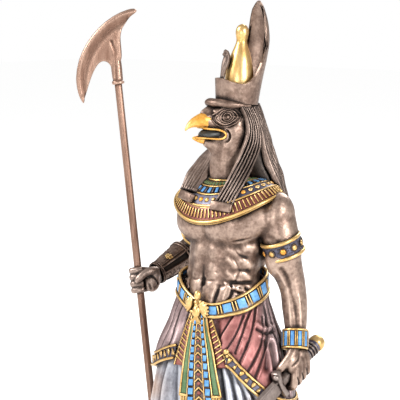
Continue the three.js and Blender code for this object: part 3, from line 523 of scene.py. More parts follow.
bm = bmesh.new()
tube(bm, [(-1.6, 6.4, 186, 10.4, 10), (-1.7, 5.2, 192, 9.2, 9.2), (-1.8, 4.6, 198, 8.5, 8.6), (-1.7, 4.4, 204, 8.3, 8.4),
          (-1.2, 4.6, 210, 8.6, 8.8), (0, 6.4, 217, 9.2, 9.6)], 28)
headTube(bm, [(3, 0, 207, 7.6, 7.6), (8.4, 0, 211.6, 6, 6), (12.6, 0, 214, 4.2, 4.2), (15.6, 0, 214.9, 2.6, 3), (18, 0, 215.3, 1.2, 2)])
headLump(bm, (0.6, 0, 225.4), (9.4, 12.8, 10.6))
headLump(bm, (8, 0, 226.6), (7.6, 7.4, 6.2))
headTube(bm, [(6, 0, 226.4, 6, 6.6), (12, 0, 226.1, 5.5, 5.7), (16, 0, 226, 4.6, 4.7), (18.6, 0, 225.9, 4.0, 4.15)])
headTube(bm, [(8, 0, 229.6, 4.6, 6.4), (13, 0, 229.2, 3.6, 5.2), (16.4, 0, 228.6, 2.7, 3.8), (18.8, 0, 227.8, 1.9, 2.8)])
headLump(bm, (8.6, 0, 217.2), (5.8, 6.6, 3.4), 4)
headLump(bm, (4, 0, 214), (7.6, 8, 6.8))
for side in (-1, 1):
    headLump(bm, (2.6, side * 4.4, 220), (5.6, 7.8, 7.4))
    headLump(bm, (7, side * 5.4, 231.2), (3, 8.6, 2.2), 4, side * 20)
    headLump(bm, (8.4, side * 5.8, 227.4), (2.7, 5.6, 4))
headMesh = fuse(bm, "head", head["voxel"], head["smooth"], finer=1, uneven=0.12)
eye = {"forward": 8.5, "z": 227.9, "rings": [(0.75, 0.7, 0.42), (2.05, 1.8, 0.42), (3.6, 2.75, 0.45), (5.5, 3.7, 0.5)], "lid": (7.2, 4.9, 0.42)}


def eyeRing(side, width, height, out=9.4, count=20):
    # An almond seen from the side, lower at the beak
    ring = []
    for k in range(count):
        a = 2 * math.pi * k / count
        pinch = 1 - 0.35 * abs(math.cos(a)) ** 3 * (width > 4)
        ring.append(headPlace(eye["forward"] + width * math.cos(a), side * out, eye["z"] + height * pinch * math.sin(a) - 0.09 * width * math.cos(a)))
    return ring


strokes = []
for side in (-1, 1):
    for width, height, stroke, depth in ((1.3, 1.2, 0.0, 0.9), (2.8, 2.3, 0.0, 0.9), (4.5, 3.2, 0.0, 1.1), (6.4, 4.3, 0.1, 1.1)):
        ring = eyeRing(side, width, height, 8.2)
        strokes.append(([tuple(p) for p in ring + ring[:1]], stroke + 1.0, depth))
    strokes.append(([headPlace(15.6, side * 4.8, 229.6), headPlace(15.4, side * 5.2, 226.4), headPlace(13.6, side * 6, 223.8), headPlace(10.6, side * 7.2, 222.4),
                     headPlace(8.4, side * 8, 220.6), headPlace(7.6, side * 8.4, 218.4), headPlace(8.4, side * 8, 216.2), headPlace(11, side * 6.8, 215.4)], 0.6, 1.0))
    strokes.append(([headPlace(1.6, side * 9.4, 226), headPlace(-0.8, side * 9.8, 223.6), headPlace(-1.6, side * 9.6, 220)], 0.9, 0.35))
    strokes.append(([headPlace(16.4, side * 4.4, 227.4), headPlace(18, side * 3.9, 227.2)], 0.55, 1.3))
    strokes.append(([headPlace(15.4, side * 4.6, 229.4), headPlace(12, side * 5.6, 230.8), headPlace(8.6, side * 7.2, 232), headPlace(4.6, side * 8.2, 232)], 0.5, 0.6))
carve(headMesh, strokes)
markRelief(headMesh, 18, 1.3)
headPiece = addMesh(headMesh, "falcon_head", [bronze])
skull = bmesh.new()
skull.from_mesh(headMesh)
skullTree = BVHTree.FromBMesh(skull)
skull.free()


def onHead(point, side, lift=0.0):
    # The head's surface straight in from the side
    inward = Vector(headPlace(0, -side, 0)) - Vector(headPlace(0, 0, 0))
    start = Vector(point) - inward * 12
    hit, normal, index, distance = skullTree.ray_cast(start * mm, inward)
    return (hit / mm + normal * lift) if hit else Vector(point)


beak = {
    "upper": [(15.6, 0, 225.9, 4.3, 4.3), (18.2, 0, 225.8, 4.15, 4.3), (20.6, 0, 225.6, 3.4, 3.5), (23.4, 0, 225, 2.5, 2.5),
              (25.6, 0, 223.9, 1.75, 1.6), (27.2, 0, 222.5, 1.0, 0.85), (28.1, 0, 221.1, 0.35, 0.35)],
    "lower": [(12, 0, 217, 1.0, 4.2), (16, 0, 216.9, 0.85, 3.3), (20, 0, 216.9, 0.7, 2.2), (23, 0, 217.2, 0.45, 1.1), (24.4, 0, 217.5, 0.2, 0.4)],
    "lip": [(19.8, 3.5, 222.4), (16.4, 4.6, 221.9), (13, 5.8, 221.6), (10.4, 7.2, 220.6), (9.4, 7.8, 219), (10.2, 7.2, 217.4),
            (12.4, 5.8, 216.9), (16, 3.9, 217.2), (20, 2.5, 217.4), (23, 1.2, 217.6)],
}
bm = bmesh.new()
headTube(bm, beak["upper"], 24, 28)
headTube(bm, beak["lower"], 20, 18)
for side in (-1, 1):
    tube(bm, [(*headPlace(f, side * l, z), 0.5, 0.55) for f, l, z in beak["lip"]], 10, 36, (0, 0, 1))
beakMesh = fuse(bm, "beak", 0.28, 3)
carve(beakMesh, [([headPlace(19.6, side * 3.9, 223), headPlace(22.6, side * 3, 223.2), headPlace(25, side * 1.8, 222.6)], 0.35, 0.35) for side in (-1, 1)])
beakPiece = addMesh(beakMesh, "beak", [beakGold])
bm = bmesh.new()
headLump(bm, (13.4, 0, 219.2), (5.2, 7.0, 2.6), 3)
headLump(bm, (15.4, 0, 219.6), (3.2, 5.6, 2.7), 12)
headLump(bm, (17.6, 0, 218.2), (1.7, 5, 0.7), 5)
addPiece(bm, "mouth", [mouthDark])


def loop(bm, points, radius, sides=8, material=0, flat=1.0):
    # A round wire closed on itself
    count = len(points)
    rings = []
    for i, point in enumerate(points):
        along = (Vector(points[(i + 1) % count]) - Vector(points[i - 1])).normalized()
        u = along.cross(Vector((0, 0, 1)) if abs(along.z) < 0.9 else Vector((1, 0, 0))).normalized()
        turn = Matrix((u * radius * mm, along.cross(u) * radius * flat * mm, along)).transposed().to_4x4()
        made = bmesh.ops.create_circle(bm, segments=sides, radius=1, matrix=Matrix.Translation(Vector(point) * mm) @ turn)
        rings.append({e for v in made["verts"] for e in v.link_edges})
    for i, ring in enumerate(rings):
        for face in bmesh.ops.bridge_loops(bm, edges=list(ring | rings[(i + 1) % count]))["faces"]:
            face.material_index = material


for side, name in ((1, "eye_left"), (-1, "eye_right")):
    bm = bmesh.new()
    for width, height, radius in eye["rings"][1:] + [eye["lid"]]:
        loop(bm, [onHead(p, side, 0.1) for p in eyeRing(side, width, height, 9.4, 28)], radius, 8)
    centre = onHead(headPlace(eye["forward"], side * 9.4, eye["z"]), side)
    lump(bm, centre, (0.85, 0.85, 0.85), detail=2)
    bmesh.ops.recalc_face_normals(bm, faces=bm.faces)
    addPiece(bm, name, [bronze])
print("beak ready")


# Crown: height, how far forward its middle lies and its radius; the rim's height by angle from the back
crown = {
    "profile": [(234, -0.5, 10.6), (240, -1.0, 11.2), (247, -1.7, 12), (255, -2.8, 12.8), (265, -4.3, 13), (272, -5, 12), (277, -6, 10.2),
                (281, -7.6, 7.6), (283.4, -9.1, 5.3), (285.2, -11.6, 1.8)],
    "rim": [(0, 285.2), (30, 285.2), (46, 285.1), (52, 283.6), (55, 268), (58, 256), (64, 251.4), (72, 248.2), (85, 245.6), (100, 244.2),
            (118, 244.4), (135, 245.4), (160, 246.8), (180, 247.2)],
    "wall": 1.3, "base": 234.2, "tilt": 0.1, "around": 96, "levels": 44,
}


def between(rows, key):
    # Values read from rows of sizes, on straight lines
    for low, high in zip(rows, rows[1:]):
        if key <= high[0]:
            t = max((key - low[0]) / (high[0] - low[0]), 0)
            return [a + t * (b - a) for a, b in zip(low[1:], high[1:])]
    return list(rows[-1][1:])


def curved(rows, key):
    # The same on a smooth curve
    i = 0
    while i < len(rows) - 2 and rows[i + 1][0] < key:
        i += 1
    a, b = rows[i], rows[i + 1]
    before, after = rows[max(i - 1, 0)], rows[min(i + 2, len(rows) - 1)]
    t = min(max((key - a[0]) / (b[0] - a[0]), 0), 1)
    values = []
    for k in range(1, len(a)):
        rise = (b[k] - before[k]) / (b[0] - before[0]) * (b[0] - a[0])
        fall = (after[k] - a[k]) / (after[0] - a[0]) * (b[0] - a[0])
        drop = a[k] - b[k]
        values.append(a[k] + t * (rise + t * (-3 * drop - 2 * rise - fall + t * (2 * drop + rise + fall))))
    return values


def wrapGrid(bm, columns, rows, place, closed=False, paint=None):
    # A grid of faces laid on a curved surface. place and paint get the shares across and up, from 0 to 1
    made = bmesh.ops.create_grid(bm, x_segments=columns, y_segments=rows, size=0.5)
    faces = {f for v in made["verts"] for f in v.link_faces}
    if paint:
        for face in faces:
            middle = face.calc_center_median()
            face.material_index = paint(middle.x + 0.5, middle.y + 0.5)
    for v in made["verts"]:
        v.co = Vector(place(v.co.x + 0.5, v.co.y + 0.5)) * mm
    if closed:
        bmesh.ops.remove_doubles(bm, verts=made["verts"], dist=0.001 * mm)
    return list(faces)


def crownWall(across, up):
    angle = across * 360
    rim = between(crown["rim"], min(angle, 360 - angle))[0]
    z = crown["base"] + (rim - crown["base"]) * up
    shift, radius = curved(crown["profile"], z)
    ahead = shift - radius * math.cos(math.radians(angle))
    tilt = crown["tilt"] * ahead * max(0, 1 - up * 3)
    return headPlace(ahead, radius * math.sin(math.radians(angle)), z + tilt)


bm = bmesh.new()
wrapGrid(bm, crown["around"], crown["levels"], crownWall, closed=True)
bmesh.ops.recalc_face_normals(bm, faces=bm.faces)
crownPiece = addPiece(bm, "red_crown", [bronze])
wall = crownPiece.modifiers.new("wall", "SOLIDIFY")
wall.thickness, wall.offset = crown["wall"] * mm, -1
edge = crownPiece.modifiers.new("edge", "BEVEL")
edge.width, edge.segments, edge.limit_method, edge.angle_limit = 0.3 * mm, 2, "ANGLE", math.radians(50)
settled(crownPiece)

# Tall bulb of the white crown, spun on its own leaning axis, with the cobra before it
bulb = {
    "profile": [(240, 6.6), (244.6, 7.2), (248, 7.1), (252, 6.5), (256, 5.6), (259.4, 4.5), (262, 3.5), (264, 2.85), (265.4, 2.7),
                (267, 2.95), (269, 3.3), (271, 3.1), (272.6, 2.2), (273.4, 0.9), (273.6, 0.02)],
    "foot": -1.5, "head": -3.8,
    "cobra": [(7.6, 0.4, 241, 1.3, 1.1), (7.9, 0.4, 246, 1.2, 1.1), (7.1, 0.4, 250.5, 1.5, 1.4), (6, 0.3, 254, 1.8, 2.1), (5.1, 0.2, 257.2, 1.6, 1.9),
              (5.2, 0.1, 259.4, 1.3, 1.2), (6.4, 0, 260.6, 0.9, 0.8)],
}
bm = bmesh.new()
low, high = bulb["profile"][0][0], bulb["profile"][-1][0]
rows = []
for z, radius in bulb["profile"]:
    lean = bulb["foot"] + (bulb["head"] - bulb["foot"]) * (z - low) / (high - low)
    rows.append((*headPlace(lean, 0, z), radius, radius))
tube(bm, rows, 32, 60)
addPiece(bm, "white_crown_bulb", [goldPaint])
bm = bmesh.new()
tube(bm, [(*headPlace(f, l, z), a, b) for f, l, z, a, b in bulb["cobra"]], 12, 30, (1, 0, 0))
headLump(bm, (5.6, 0, 258.6), (1.5, 1.9, 1.2))
addMesh(fuse(bm, "cobra", 0.28, 3), "cobra", [darkBronze])

# Thick band over the forehead, which dies out under the crown at the sides
bm = bmesh.new()
rows = []
for step in range(33):
    angle = math.radians(-104 + 208 * step / 32)
    front = max(math.cos(angle), 0)
    reach = 9.6 + 4.4 * front ** 1.2
    rows.append((*headPlace(-0.8 + reach * math.cos(angle), (9.9 + 0.8 * front) * math.sin(angle), 233.3 + 1.4 * front),
                 1.0 + 2.3 * front ** 1.1, 1.0 + 1.3 * front))
tube(bm, rows, 18, 80, (0, 0, 1))
addPiece(bm, "forehead_band", [bronze])
print("crown ready")


# Wig: each guide runs from the crown's foot to the hair's end, on the figure's left
wig = {
    "lappetFront": [(8.6, 2.8, 233.4), (10.6, 5, 226), (11.2, 4.6, 218.8), (10.8, 0.6, 210.6), (10.2, -4.9, 201.9), (8.6, -10.5, 192.6), (6.2, -14.4, 185.4)],
    "lappetBack": [(10.2, 8.8, 233.4), (12.5, 11.6, 224), (13.8, 11.6, 213.8), (15.2, 5.2, 204), (16.8, -3.6, 194.9), (16.9, -8.6, 189.4), (16.3, -11.6, 183.6)],
    "rightFront": [(-9, 9.9, 233.4), (-9.4, 9.4, 226), (-9, 8.2, 218.8), (-8.4, 6, 211), (-8.2, 2, 203.4), (-8, -5, 196), (-7.2, -12.2, 190.2)],
    "rightBack": [(-6, 15.3, 233.4), (-9.6, 16.4, 225), (-13, 14, 217), (-15.6, 8.6, 211), (-17.4, 0.6, 204.6), (-18, -5.4, 198.8), (-17.4, -11.2, 191)],
    "backFront": [(9.8, 9.4, 233.4), (12, 12, 224), (12.8, 13.8, 217), (15, 15.4, 205.7), (18.4, 17.2, 197.4), (21.6, 18, 190), (23.4, 18, 183.4)],
    "backSide": [(8.1, 16.2, 233.4), (10.4, 19.4, 222.5), (12, 21.4, 215), (14.2, 22.9, 207), (17, 24, 199.4), (19.4, 24.4, 191), (21, 24.8, 182.4)],
    "backMiddle": [(5.1, 19.4, 233.4), (6.4, 22.8, 223), (5.4, 23.8, 215.4), (3.2, 24.8, 207), (1.2, 25.4, 198.6), (0, 25.8, 190), (0, 26, 181.6)],
    "lappetStrands": 6, "sideStrands": 5, "backStrands": 7, "fullness": 0.52, "depth": 1.7,
}


def hairTurn(z):
    # The hair follows the head above and the shoulders below
    t = min(max((z - 190) / 25, 0), 1)
    return head["turn"] * t * t * (3 - 2 * t)


def otherSide(place):
    x, y, z = place
    a = math.radians(hairTurn(z))
    middle = head["x"] * min(max((z - 190) / 25, 0), 1)
    forward = -(x - middle) * math.sin(a) - (y - head["y"]) * math.cos(a)
    left = (x - middle) * math.cos(a) - (y - head["y"]) * math.sin(a)
    return (middle - forward * math.sin(a) - left * math.cos(a), head["y"] - forward * math.cos(a) + left * math.sin(a), z)


def addStrands(bm, guides, count, mirrored=False):
    for k in range(count):
        share = (k + 0.5) / count * (len(guides) - 1)
        i = min(int(share), len(guides) - 2)
        t = share - i
        rows = []
        for step, (a, b) in enumerate(zip(guides[i], guides[i + 1])):
            a, b = Vector(a), Vector(b)
            place = a.lerp(b, t)
            width = (b - a).length * (len(guides) - 1) / count * wig["fullness"]
            if mirrored:
                place = Vector(otherSide(place))
            rows.append((*place, max(width, 0.7), wig["depth"]))
        path = smoothPath(rows, 30)
        rings = []
        for n, row in enumerate(path):
            along = Vector(path[min(n + 1, 30)][:3] - path[max(n - 1, 0)][:3]).normalized()
            axis = Vector((row[0] - 0.2 * head["x"], row[1] - 7.5, 0)).normalized()
            out = (axis - along * axis.dot(along)).normalized()
            side = out.cross(along)
            grow = 1 + 0.1 * math.sin(n * 0.9 + k * 2.1)
            turn = Matrix((side * row[3] * mm, out * row[4] * grow * mm, along)).transposed().to_4x4()
            made = bmesh.ops.create_circle(bm, segments=12, radius=1, matrix=Matrix.Translation(Vector(row[:3]) * mm) @ turn)
            rings.append({e for v in made["verts"] for e in v.link_edges})
        for low, high in zip(rings, rings[1:]):
            bmesh.ops.bridge_loops(bm, edges=list(low | high))
        for ring in (rings[0], rings[-1]):
            bmesh.ops.holes_fill(bm, edges=list(ring))


bm = bmesh.new()
for mirrored in (False, True):
    lappet = ("rightFront", "rightBack") if mirrored else ("lappetFront", "lappetBack")
    addStrands(bm, [wig[guide] for guide in lappet], wig["lappetStrands"])
    addStrands(bm, [wig["backFront"], wig["backSide"]], wig["sideStrands"], mirrored)
    addStrands(bm, [wig["backSide"], wig["backMiddle"]], wig["backStrands"], mirrored)
bmesh.ops.recalc_face_normals(bm, faces=bm.faces)
addPiece(bm, "wig", [hairBronze])
# Dark mass under the strands, painted near black as the shade between them
bm = bmesh.new()
headLump(bm, (-3.4, 0, 222), (8.6, 11.6, 12.4))
tube(bm, [(1.6, 12, 226, 8.6, 9), (1.6, 14.6, 214, 10.4, 8), (0.6, 16.8, 204, 13, 6.4), (0, 18.4, 194, 17.4, 5), (0, 19.8, 184, 20, 4)], 24)
addMesh(fuse(bm, "wig_core", 0.9, 4), "wig_core", [paintedShade])


def brick(bm, centre, u, v, size, bevel=0.25, material=0, taper=1.0):
    # A block with softened edges, lying on the ways u and v; size is across, up and out
    u = Vector(u).normalized()
    v = (Vector(v) - u * Vector(v).dot(u)).normalized()
    out = u.cross(v)
    turn = Matrix((u * size[0] * mm, v * size[1] * mm, out * size[2] * mm)).transposed().to_4x4()
    made = bmesh.ops.create_cube(bm, size=1, matrix=Matrix.Identity(4))
    verts = made["verts"]
    for w in verts:
        if w.co.y > 0:
            w.co.x *= taper
    bmesh.ops.transform(bm, matrix=Matrix.Translation(Vector(centre) * mm) @ turn, verts=verts)
    faces = list({f for w in verts for f in w.link_faces})
    for face in faces:
        face.material_index = material
    if bevel:
        edges = list({e for w in verts for e in w.link_edges})
        bmesh.ops.bevel(bm, geom=edges, offset=bevel * mm, offset_type="OFFSET", segments=2, profile=0.5, affect="EDGES", material=-1)


bm = bmesh.new()
brick(bm, (11.4, -13.9, 184.4), (10.4, 3.6, -1.6), (0.1, 0.36, 1), (11.6, 4.6, 4.2), 0.7)
brick(bm, (-12, -13.2, 188), (10.4, -3.4, -1.4), (-0.1, 0.4, 1), (11.2, 4.6, 4.2), 0.7)
addPiece(bm, "lappet_bands", [bronze])
print("wig ready")


# Broad collar: rings of cells from the neck down to a gold border
collar = {
    "inner": (-0.6, 5.6, 8.8, 9, 196.6), "outer": (0, 4.4, 30.6, 22.2, 180), "bulge": 3.6,
    "bands": [(0.075, 0), (0.2, 1), (0.235, 0), (0.4, 1), (0.435, 0), (0.63, 2), (0.69, 0), (0.915, 3), (1, 0)],
    "lines": [(0.035, 0.62), (0.215, 0.38), (0.418, 0.42), (0.66, 0.6), (0.955, 0.85)],
    "greenCells": (0.14, 44, 1.45, 2.1), "blueCells": (0.318, 50, 1.75, 3.1), "bars": (0.803, 74, 0.75, 4.6), "studs": (0.532, 34, 1.25),
}


def collarPlace(angle, share, lift=0.0):
    a = math.radians(angle)
    x0, y0, rx, ry, z0 = collar["inner"]
    x1, y1, sx, sy, z1 = collar["outer"]
    low = Vector((x1 + sx * math.sin(a), y1 - sy * math.cos(a), z1 - 5 * math.cos(a) + 8.4 * math.sin(a) ** 2))
    high = Vector((x0 + rx * math.sin(a), y0 - ry * math.cos(a), z0))
    out = Vector((math.sin(a) * 0.8, -math.cos(a) * 0.8, 0.6 + 0.2 * math.sin(a) ** 2)).normalized()
    return high.lerp(low, share) + out * (collar["bulge"] * math.sin(math.pi * share) ** 0.9 + lift)


def collarFrame(angle, share, lift=0.0):
    here = collarPlace(angle, share, lift)
    round_ = (collarPlace(angle + 1, share) - collarPlace(angle - 1, share)).normalized()
    up = (collarPlace(angle, share - 0.02) - collarPlace(angle, share + 0.02)).normalized()
    return here, round_, up


def evenAngles(place, count):
    # Angles that stand evenly along a closed line
    steps = [place(k - 180) for k in range(361)]
    lengths = [0]
    for a, b in zip(steps, steps[1:]):
        lengths.append(lengths[-1] + (b - a).length)
    return [float(np.interp(lengths[-1] * (k + 0.5) / count, lengths, [n - 180 for n in range(361)])) for k in range(count)]


def stud(bm, centre, out, radius, height, material=0, detail=2):
    turn = Vector(out).to_track_quat("Z", "Y").to_matrix().to_4x4()
    place = Matrix.Translation(Vector(centre) * mm) @ turn @ Matrix.Diagonal((radius * mm, radius * mm, height * mm, 1))
    made = bmesh.ops.create_icosphere(bm, subdivisions=detail, radius=1, matrix=place)
    for face in {f for v in made["verts"] for f in v.link_faces}:
        face.material_index = material


bm = bmesh.new()


def collarPaint(across, up):
    return next(kind for edge, kind in collar["bands"] if up <= edge)


wrapGrid(bm, 160, 46, lambda across, up: collarPlace(across * 360 - 180, up), closed=True, paint=collarPaint)
bmesh.ops.recalc_face_normals(bm, faces=bm.faces)
collarBase = addPiece(bm, "collar_base", [goldPaint, darkBronze, studBlack, redEnamel])
wall = collarBase.modifiers.new("wall", "SOLIDIFY")
wall.thickness, wall.offset = 1.6 * mm, -1
settled(collarBase)
bm = bmesh.new()
for share, radius in collar["lines"]:
    loop(bm, [collarPlace(k * 2.25 - 180, share, 0.15) for k in range(160)], radius, 8, 0, 0.9)
share, count, width, height = collar["greenCells"]
for k, angle in enumerate(evenAngles(lambda a: collarPlace(a, 0.14), count)):
    here, u, v = collarFrame(angle, share, 0.1)
    brick(bm, here, u, v, (width * 0.78, height, 0.9), 0.14, 1)
    here, u, v = collarFrame(angle + 180 / count, share, 0.1)
    brick(bm, here, u, v, (0.32, height, 0.8), 0.1, 0)
share, count, width, height = collar["blueCells"]
for k, angle in enumerate(evenAngles(lambda a: collarPlace(a, 0.318), count)):
    here, u, v = collarFrame(angle, share, 0.15)
    brick(bm, here, u, v, (width * (0.9 if k % 2 else 0.6), height, 1.0), 0.16, 2 if k % 2 else 3)
share, count, width, height = collar["bars"]
for k, angle in enumerate(evenAngles(lambda a: collarPlace(a, 0.8), count)):
    here, u, v = collarFrame(angle, share, 0.1)
    brick(bm, here, u, v, (width, height, 1.1), 0.26, 0)
share, count, radius = collar["studs"]
for k, angle in enumerate(evenAngles(lambda a: collarPlace(a, 0.53), count)):
    here, u, v = collarFrame(angle, share)
    stud(bm, here, u.cross(v), radius, 0.75, 4 if k % 6 == 4 else 0)
bmesh.ops.recalc_face_normals(bm, faces=bm.faces)
addPiece(bm, "collar_cells", [goldPaint, greenEnamel, blueEnamel, darkBronze, orangeGlaze])
print("collar ready")


# Bands on a limb: a centre, the way up its axis, and rings of studs or tiles
def ringFrame(axis):
    # Angle 0 faces the figure's front
    w = Vector(axis).normalized()
    v = (Vector((0, -1, 0)) - w * Vector((0, -1, 0)).dot(w)).normalized()
    return v, v.cross(w) * -1, w


def ringPlace(centre, axis, radii, angle, rise, lift=0.0):
    v, u, w = ringFrame(axis)
    a = math.radians(angle)
    out = v * math.cos(a) + u * math.sin(a)
    return Vector(centre) + v * (radii[1] + lift) * math.cos(a) + u * (radii[0] + lift) * math.sin(a) + w * rise, out, w


def addBand(bm, centre, axis, radii, height, rim, base):
    # A hollow ring of metal with a round rim at each edge
    wrapGrid(bm, 72, 8, lambda across, up: ringPlace(centre, axis, radii, across * 360 - 180, (up - 0.5) * height)[0],
             closed=True, paint=lambda across, up: base)
    wrapGrid(bm, 72, 8, lambda across, up: ringPlace(centre, axis, radii, 180 - across * 360, (up - 0.5) * height, -1.4)[0],
             closed=True, paint=lambda across, up: base)
    for edge in (-1, 1):
        loop(bm, [ringPlace(centre, axis, radii, k * 5 - 180, edge * height / 2, -0.1)[0] for k in range(72)], rim, 10, 0, 1.15)


armband = {"centre": (31, 9.7, 164.2), "axis": (-0.136, -0.311, 0.94), "radii": (9.7, 9.9), "height": 8, "rim": 0.85, "studs": 10}
bm = bmesh.new()
addBand(bm, armband["centre"], armband["axis"], armband["radii"], armband["height"], armband["rim"], 1)
for k in range(armband["studs"]):
    here, out, w = ringPlace(armband["centre"], armband["axis"], armband["radii"], k * 360 / armband["studs"] + 3, 0, 0.1)
    stud(bm, here, out, 1.55, 0.9, 2 if k % 4 == 1 else 0)
    loop(bm, [here + out * 0.15 + (w * math.cos(a) + out.cross(w) * math.sin(a)) * 1.75
              for a in [n * math.pi / 8 for n in range(16)]], 0.22, 6, 3)
for k in range(400):
    # Stippled ground between the studs
    turn, rise = marks.uniform(-180, 180), marks.uniform(-3.1, 3.1)
    here, out, w = ringPlace(armband["centre"], armband["axis"], armband["radii"], turn, rise)
    stud(bm, here, out, marks.uniform(0.16, 0.3), 0.22, 3, 1)
bmesh.ops.recalc_face_normals(bm, faces=bm.faces)
addPiece(bm, "armband", [goldPaint, studBlack, orangeGlaze, darkBronze])

# The right armband is like it, higher on the raised upper arm
rightBand = {"centre": (-34.4, 21.8, 168.2), "axis": (0.56, -0.55, 0.62), "radii": (9.6, 9.6)}
bm = bmesh.new()
addBand(bm, rightBand["centre"], rightBand["axis"], rightBand["radii"], armband["height"], armband["rim"], 1)
for k in range(armband["studs"]):
    here, out, w = ringPlace(rightBand["centre"], rightBand["axis"], rightBand["radii"], k * 360 / armband["studs"], 0, 0.1)
    stud(bm, here, out, 1.55, 0.9, 2 if k % 4 == 1 else 0)
bmesh.ops.recalc_face_normals(bm, faces=bm.faces)
addPiece(bm, "armband_right", [goldPaint, studBlack, orangeGlaze])

wristband = {"centre": (39.3, 9.6, 118.6), "axis": (-0.16, 0.22, 0.96), "radii": (6.2, 6.1), "height": 8.6, "rim": 0.6, "tiles": 11}
bm = bmesh.new()
addBand(bm, wristband["centre"], wristband["axis"], wristband["radii"], wristband["height"], wristband["rim"], 1)
for k in range(wristband["tiles"] * 2):
    here, out, w = ringPlace(wristband["centre"], wristband["axis"], wristband["radii"], k * 180 / wristband["tiles"] + 12, 0, 0.1)
    if k % 2:
        brick(bm, here, w.cross(out), w, (1.9, 7.2, 0.9), 0.18, 2)
    else:
        for edge in (-0.42, 0.42):
            brick(bm, here + w.cross(out) * edge, w.cross(out), w, (0.42, 7.4, 1.2), 0.12, 0)
bmesh.ops.recalc_face_normals(bm, faces=bm.faces)
addPiece(bm, "wristband", [goldPaint, darkBronze, blueEnamel])
print("bands ready")


# Bracer on the right forearm: plates with raised borders, a sunken gap between them painted near black as shade, and
# tooled dots
bracer = {
    "line": [(-45.25, 19.5, 152.6, 7.5, 7.5), (-45.6, 14, 150.1, 7, 7), (-45.9, 9, 148, 6.5, 6.5), (-46.3, 5, 146.1, 6, 5.9), (-46.8, 1.4, 144.6, 5.6, 5.2)],
    "borders": [(44, 0.36), (56, 0.42), (88, 0.36), (136, 0.4), (-80, 0.4), (-140, 0.4)], "gap": (58, 85),
}
bracerPath = smoothPath(bracer["line"], 60)


def bracerPlace(share, angle, lift=0.0):
    # Angle 0 is up, and 90 faces the figure's left
    i = min(int(share * 60), 60)
    row = bracerPath[i]
    along = Vector(bracerPath[min(i + 1, 60)][:3] - bracerPath[max(i - 1, 0)][:3]).normalized()
    up = (Vector((0, 0, 1)) - along * along.z).normalized()
    left = Vector((1, 0, 0)) - along * along.x
    left = (left - up * left.dot(up)).normalized()
    a = math.radians(angle)
    out = up * math.cos(a) + left * math.sin(a)
    return Vector(row[:3]) + out * ((row[3] + row[4]) / 2 + lift), out


def bracerSkin(across, up):
    angle = across * 360 - 180
    deep = bracer["gap"][0] < angle < bracer["gap"][1]
    return bracerPlace(up, angle, -0.8 if deep else 0)[0]


bm = bmesh.new()
# Faces in the sunken gap take the third material, painted shade
wrapGrid(bm, 120, 60, bracerSkin, closed=True, paint=lambda across, up: 2 if bracer["gap"][0] < across * 360 - 180 < bracer["gap"][1] else 0)
for angle, radius in bracer["borders"]:
    tube(bm, [(*bracerPlace(0.02 + 0.96 * k / 20, angle, 0.1)[0], radius, radius) for k in range(21)], 8, 40)
for share in (0.01, 0.07, 0.93, 0.99):
    loop(bm, [bracerPlace(share, k * 6, 0.1)[0] for k in range(60)], 0.42)
for k in range(130):
    share, angle = marks.uniform(0.1, 0.9), marks.choice((marks.uniform(-70, 40), marks.uniform(92, 130)))
    here, out = bracerPlace(share, angle)
    stud(bm, here, out, 0.3, 0.28, 0, 1)
for k in range(6):
    a = k * math.pi / 3
    here, out = bracerPlace(0.5 + 0.05 * math.cos(a), 30 + 13 * math.sin(a), 0.05)
    stud(bm, here, out, 0.85, 0.5, 1)
here, out = bracerPlace(0.5, 30, 0.1)
stud(bm, here, out, 1.1, 0.7, 1)
bmesh.ops.recalc_face_normals(bm, faces=bm.faces)
addPiece(bm, "bracer", [bronze, goldPaint, paintedShade])
print("bracer ready")


# Kilt: sizes by height, hem and belt by angle from the front, towards the figure's left
kilt = {
    "sizes": [(55, 41.8, 33.2, 0), (59, 41.5, 33, 0), (72, 40.5, 32, 0), (86, 39, 31, 0), (96, 37.2, 29.7, 0), (106, 35.5, 28, 0), (116, 32.5, 25.5, 0),
              (126, 28.2, 21.6, 0), (136, 24.6, 18.8, 0), (146, 22.3, 17.2, 0.3), (154, 21.3, 16.6, 1)],
    "hem": [(-180, 96), (-150, 97.5), (-120, 100), (-75, 105), (-58, 107.5), (-40, 109.1), (-26, 112.5), (-14, 114.9), (0, 116.5), (16, 117.6),
            (39, 113.6), (50, 107), (58, 102.2), (67, 97.6), (78, 92.2), (101, 88.5), (130, 89), (156, 92.5), (180, 96)],
    "band": 6.2,
    "belt": [(-180, 147.6), (-120, 147.4), (-75, 145.4), (-50, 143.2), (-33, 141), (-16, 137.8), (0, 134.8), (14, 133.4), (26, 133.4), (40, 134.8),
             (61, 137.4), (89, 142), (120, 145.6), (150, 147.4), (180, 147.6)],
    "beltHalf": [(-180, 4.1), (-60, 3.9), (-20, 3.3), (20, 2.9), (40, 3.2), (62, 3.8), (90, 4.1), (180, 4.1)],
    "push": [(-34, 26, 0.05), (16, 18, -0.09), (58, 26, 0.03)],
}


def turned(angle):
    return (angle + 180) % 360 - 180


def kiltPlace(angle, z, grow=0.0):
    angle = turned(angle)
    a, b, back = between(kilt["sizes"], z)
    t = min(max((136 - z) / 40, 0), 1)
    low = t * t * (3 - 2 * t)
    push = 1 + low * sum(height * math.exp(-((angle - centre) / width) ** 2) for centre, width, height in kilt["push"])
    r = math.radians(angle)
    return Vector(((a * push + grow) * math.sin(r), back - (b * push + grow) * math.cos(r), z))


def hemTop(angle):
    return curved(kilt["hem"], turned(angle))[0]


def beltMiddle(angle):
    return curved(kilt["belt"], turned(angle))[0]


def onKilt(line, grow=0.0):
    return [kiltPlace(angle, z, grow) for angle, z in line]


def addTint(mesh, amount):
    # How much of a material's second colour shows, by angle and height
    values = []
    for v in mesh.vertices:
        x, y, z = v.co / mm
        values.append(amount(math.degrees(math.atan2(x * 0.8, -y)), z))
    mesh.attributes.new("tint", "FLOAT", "POINT").data.foreach_set("value", values)


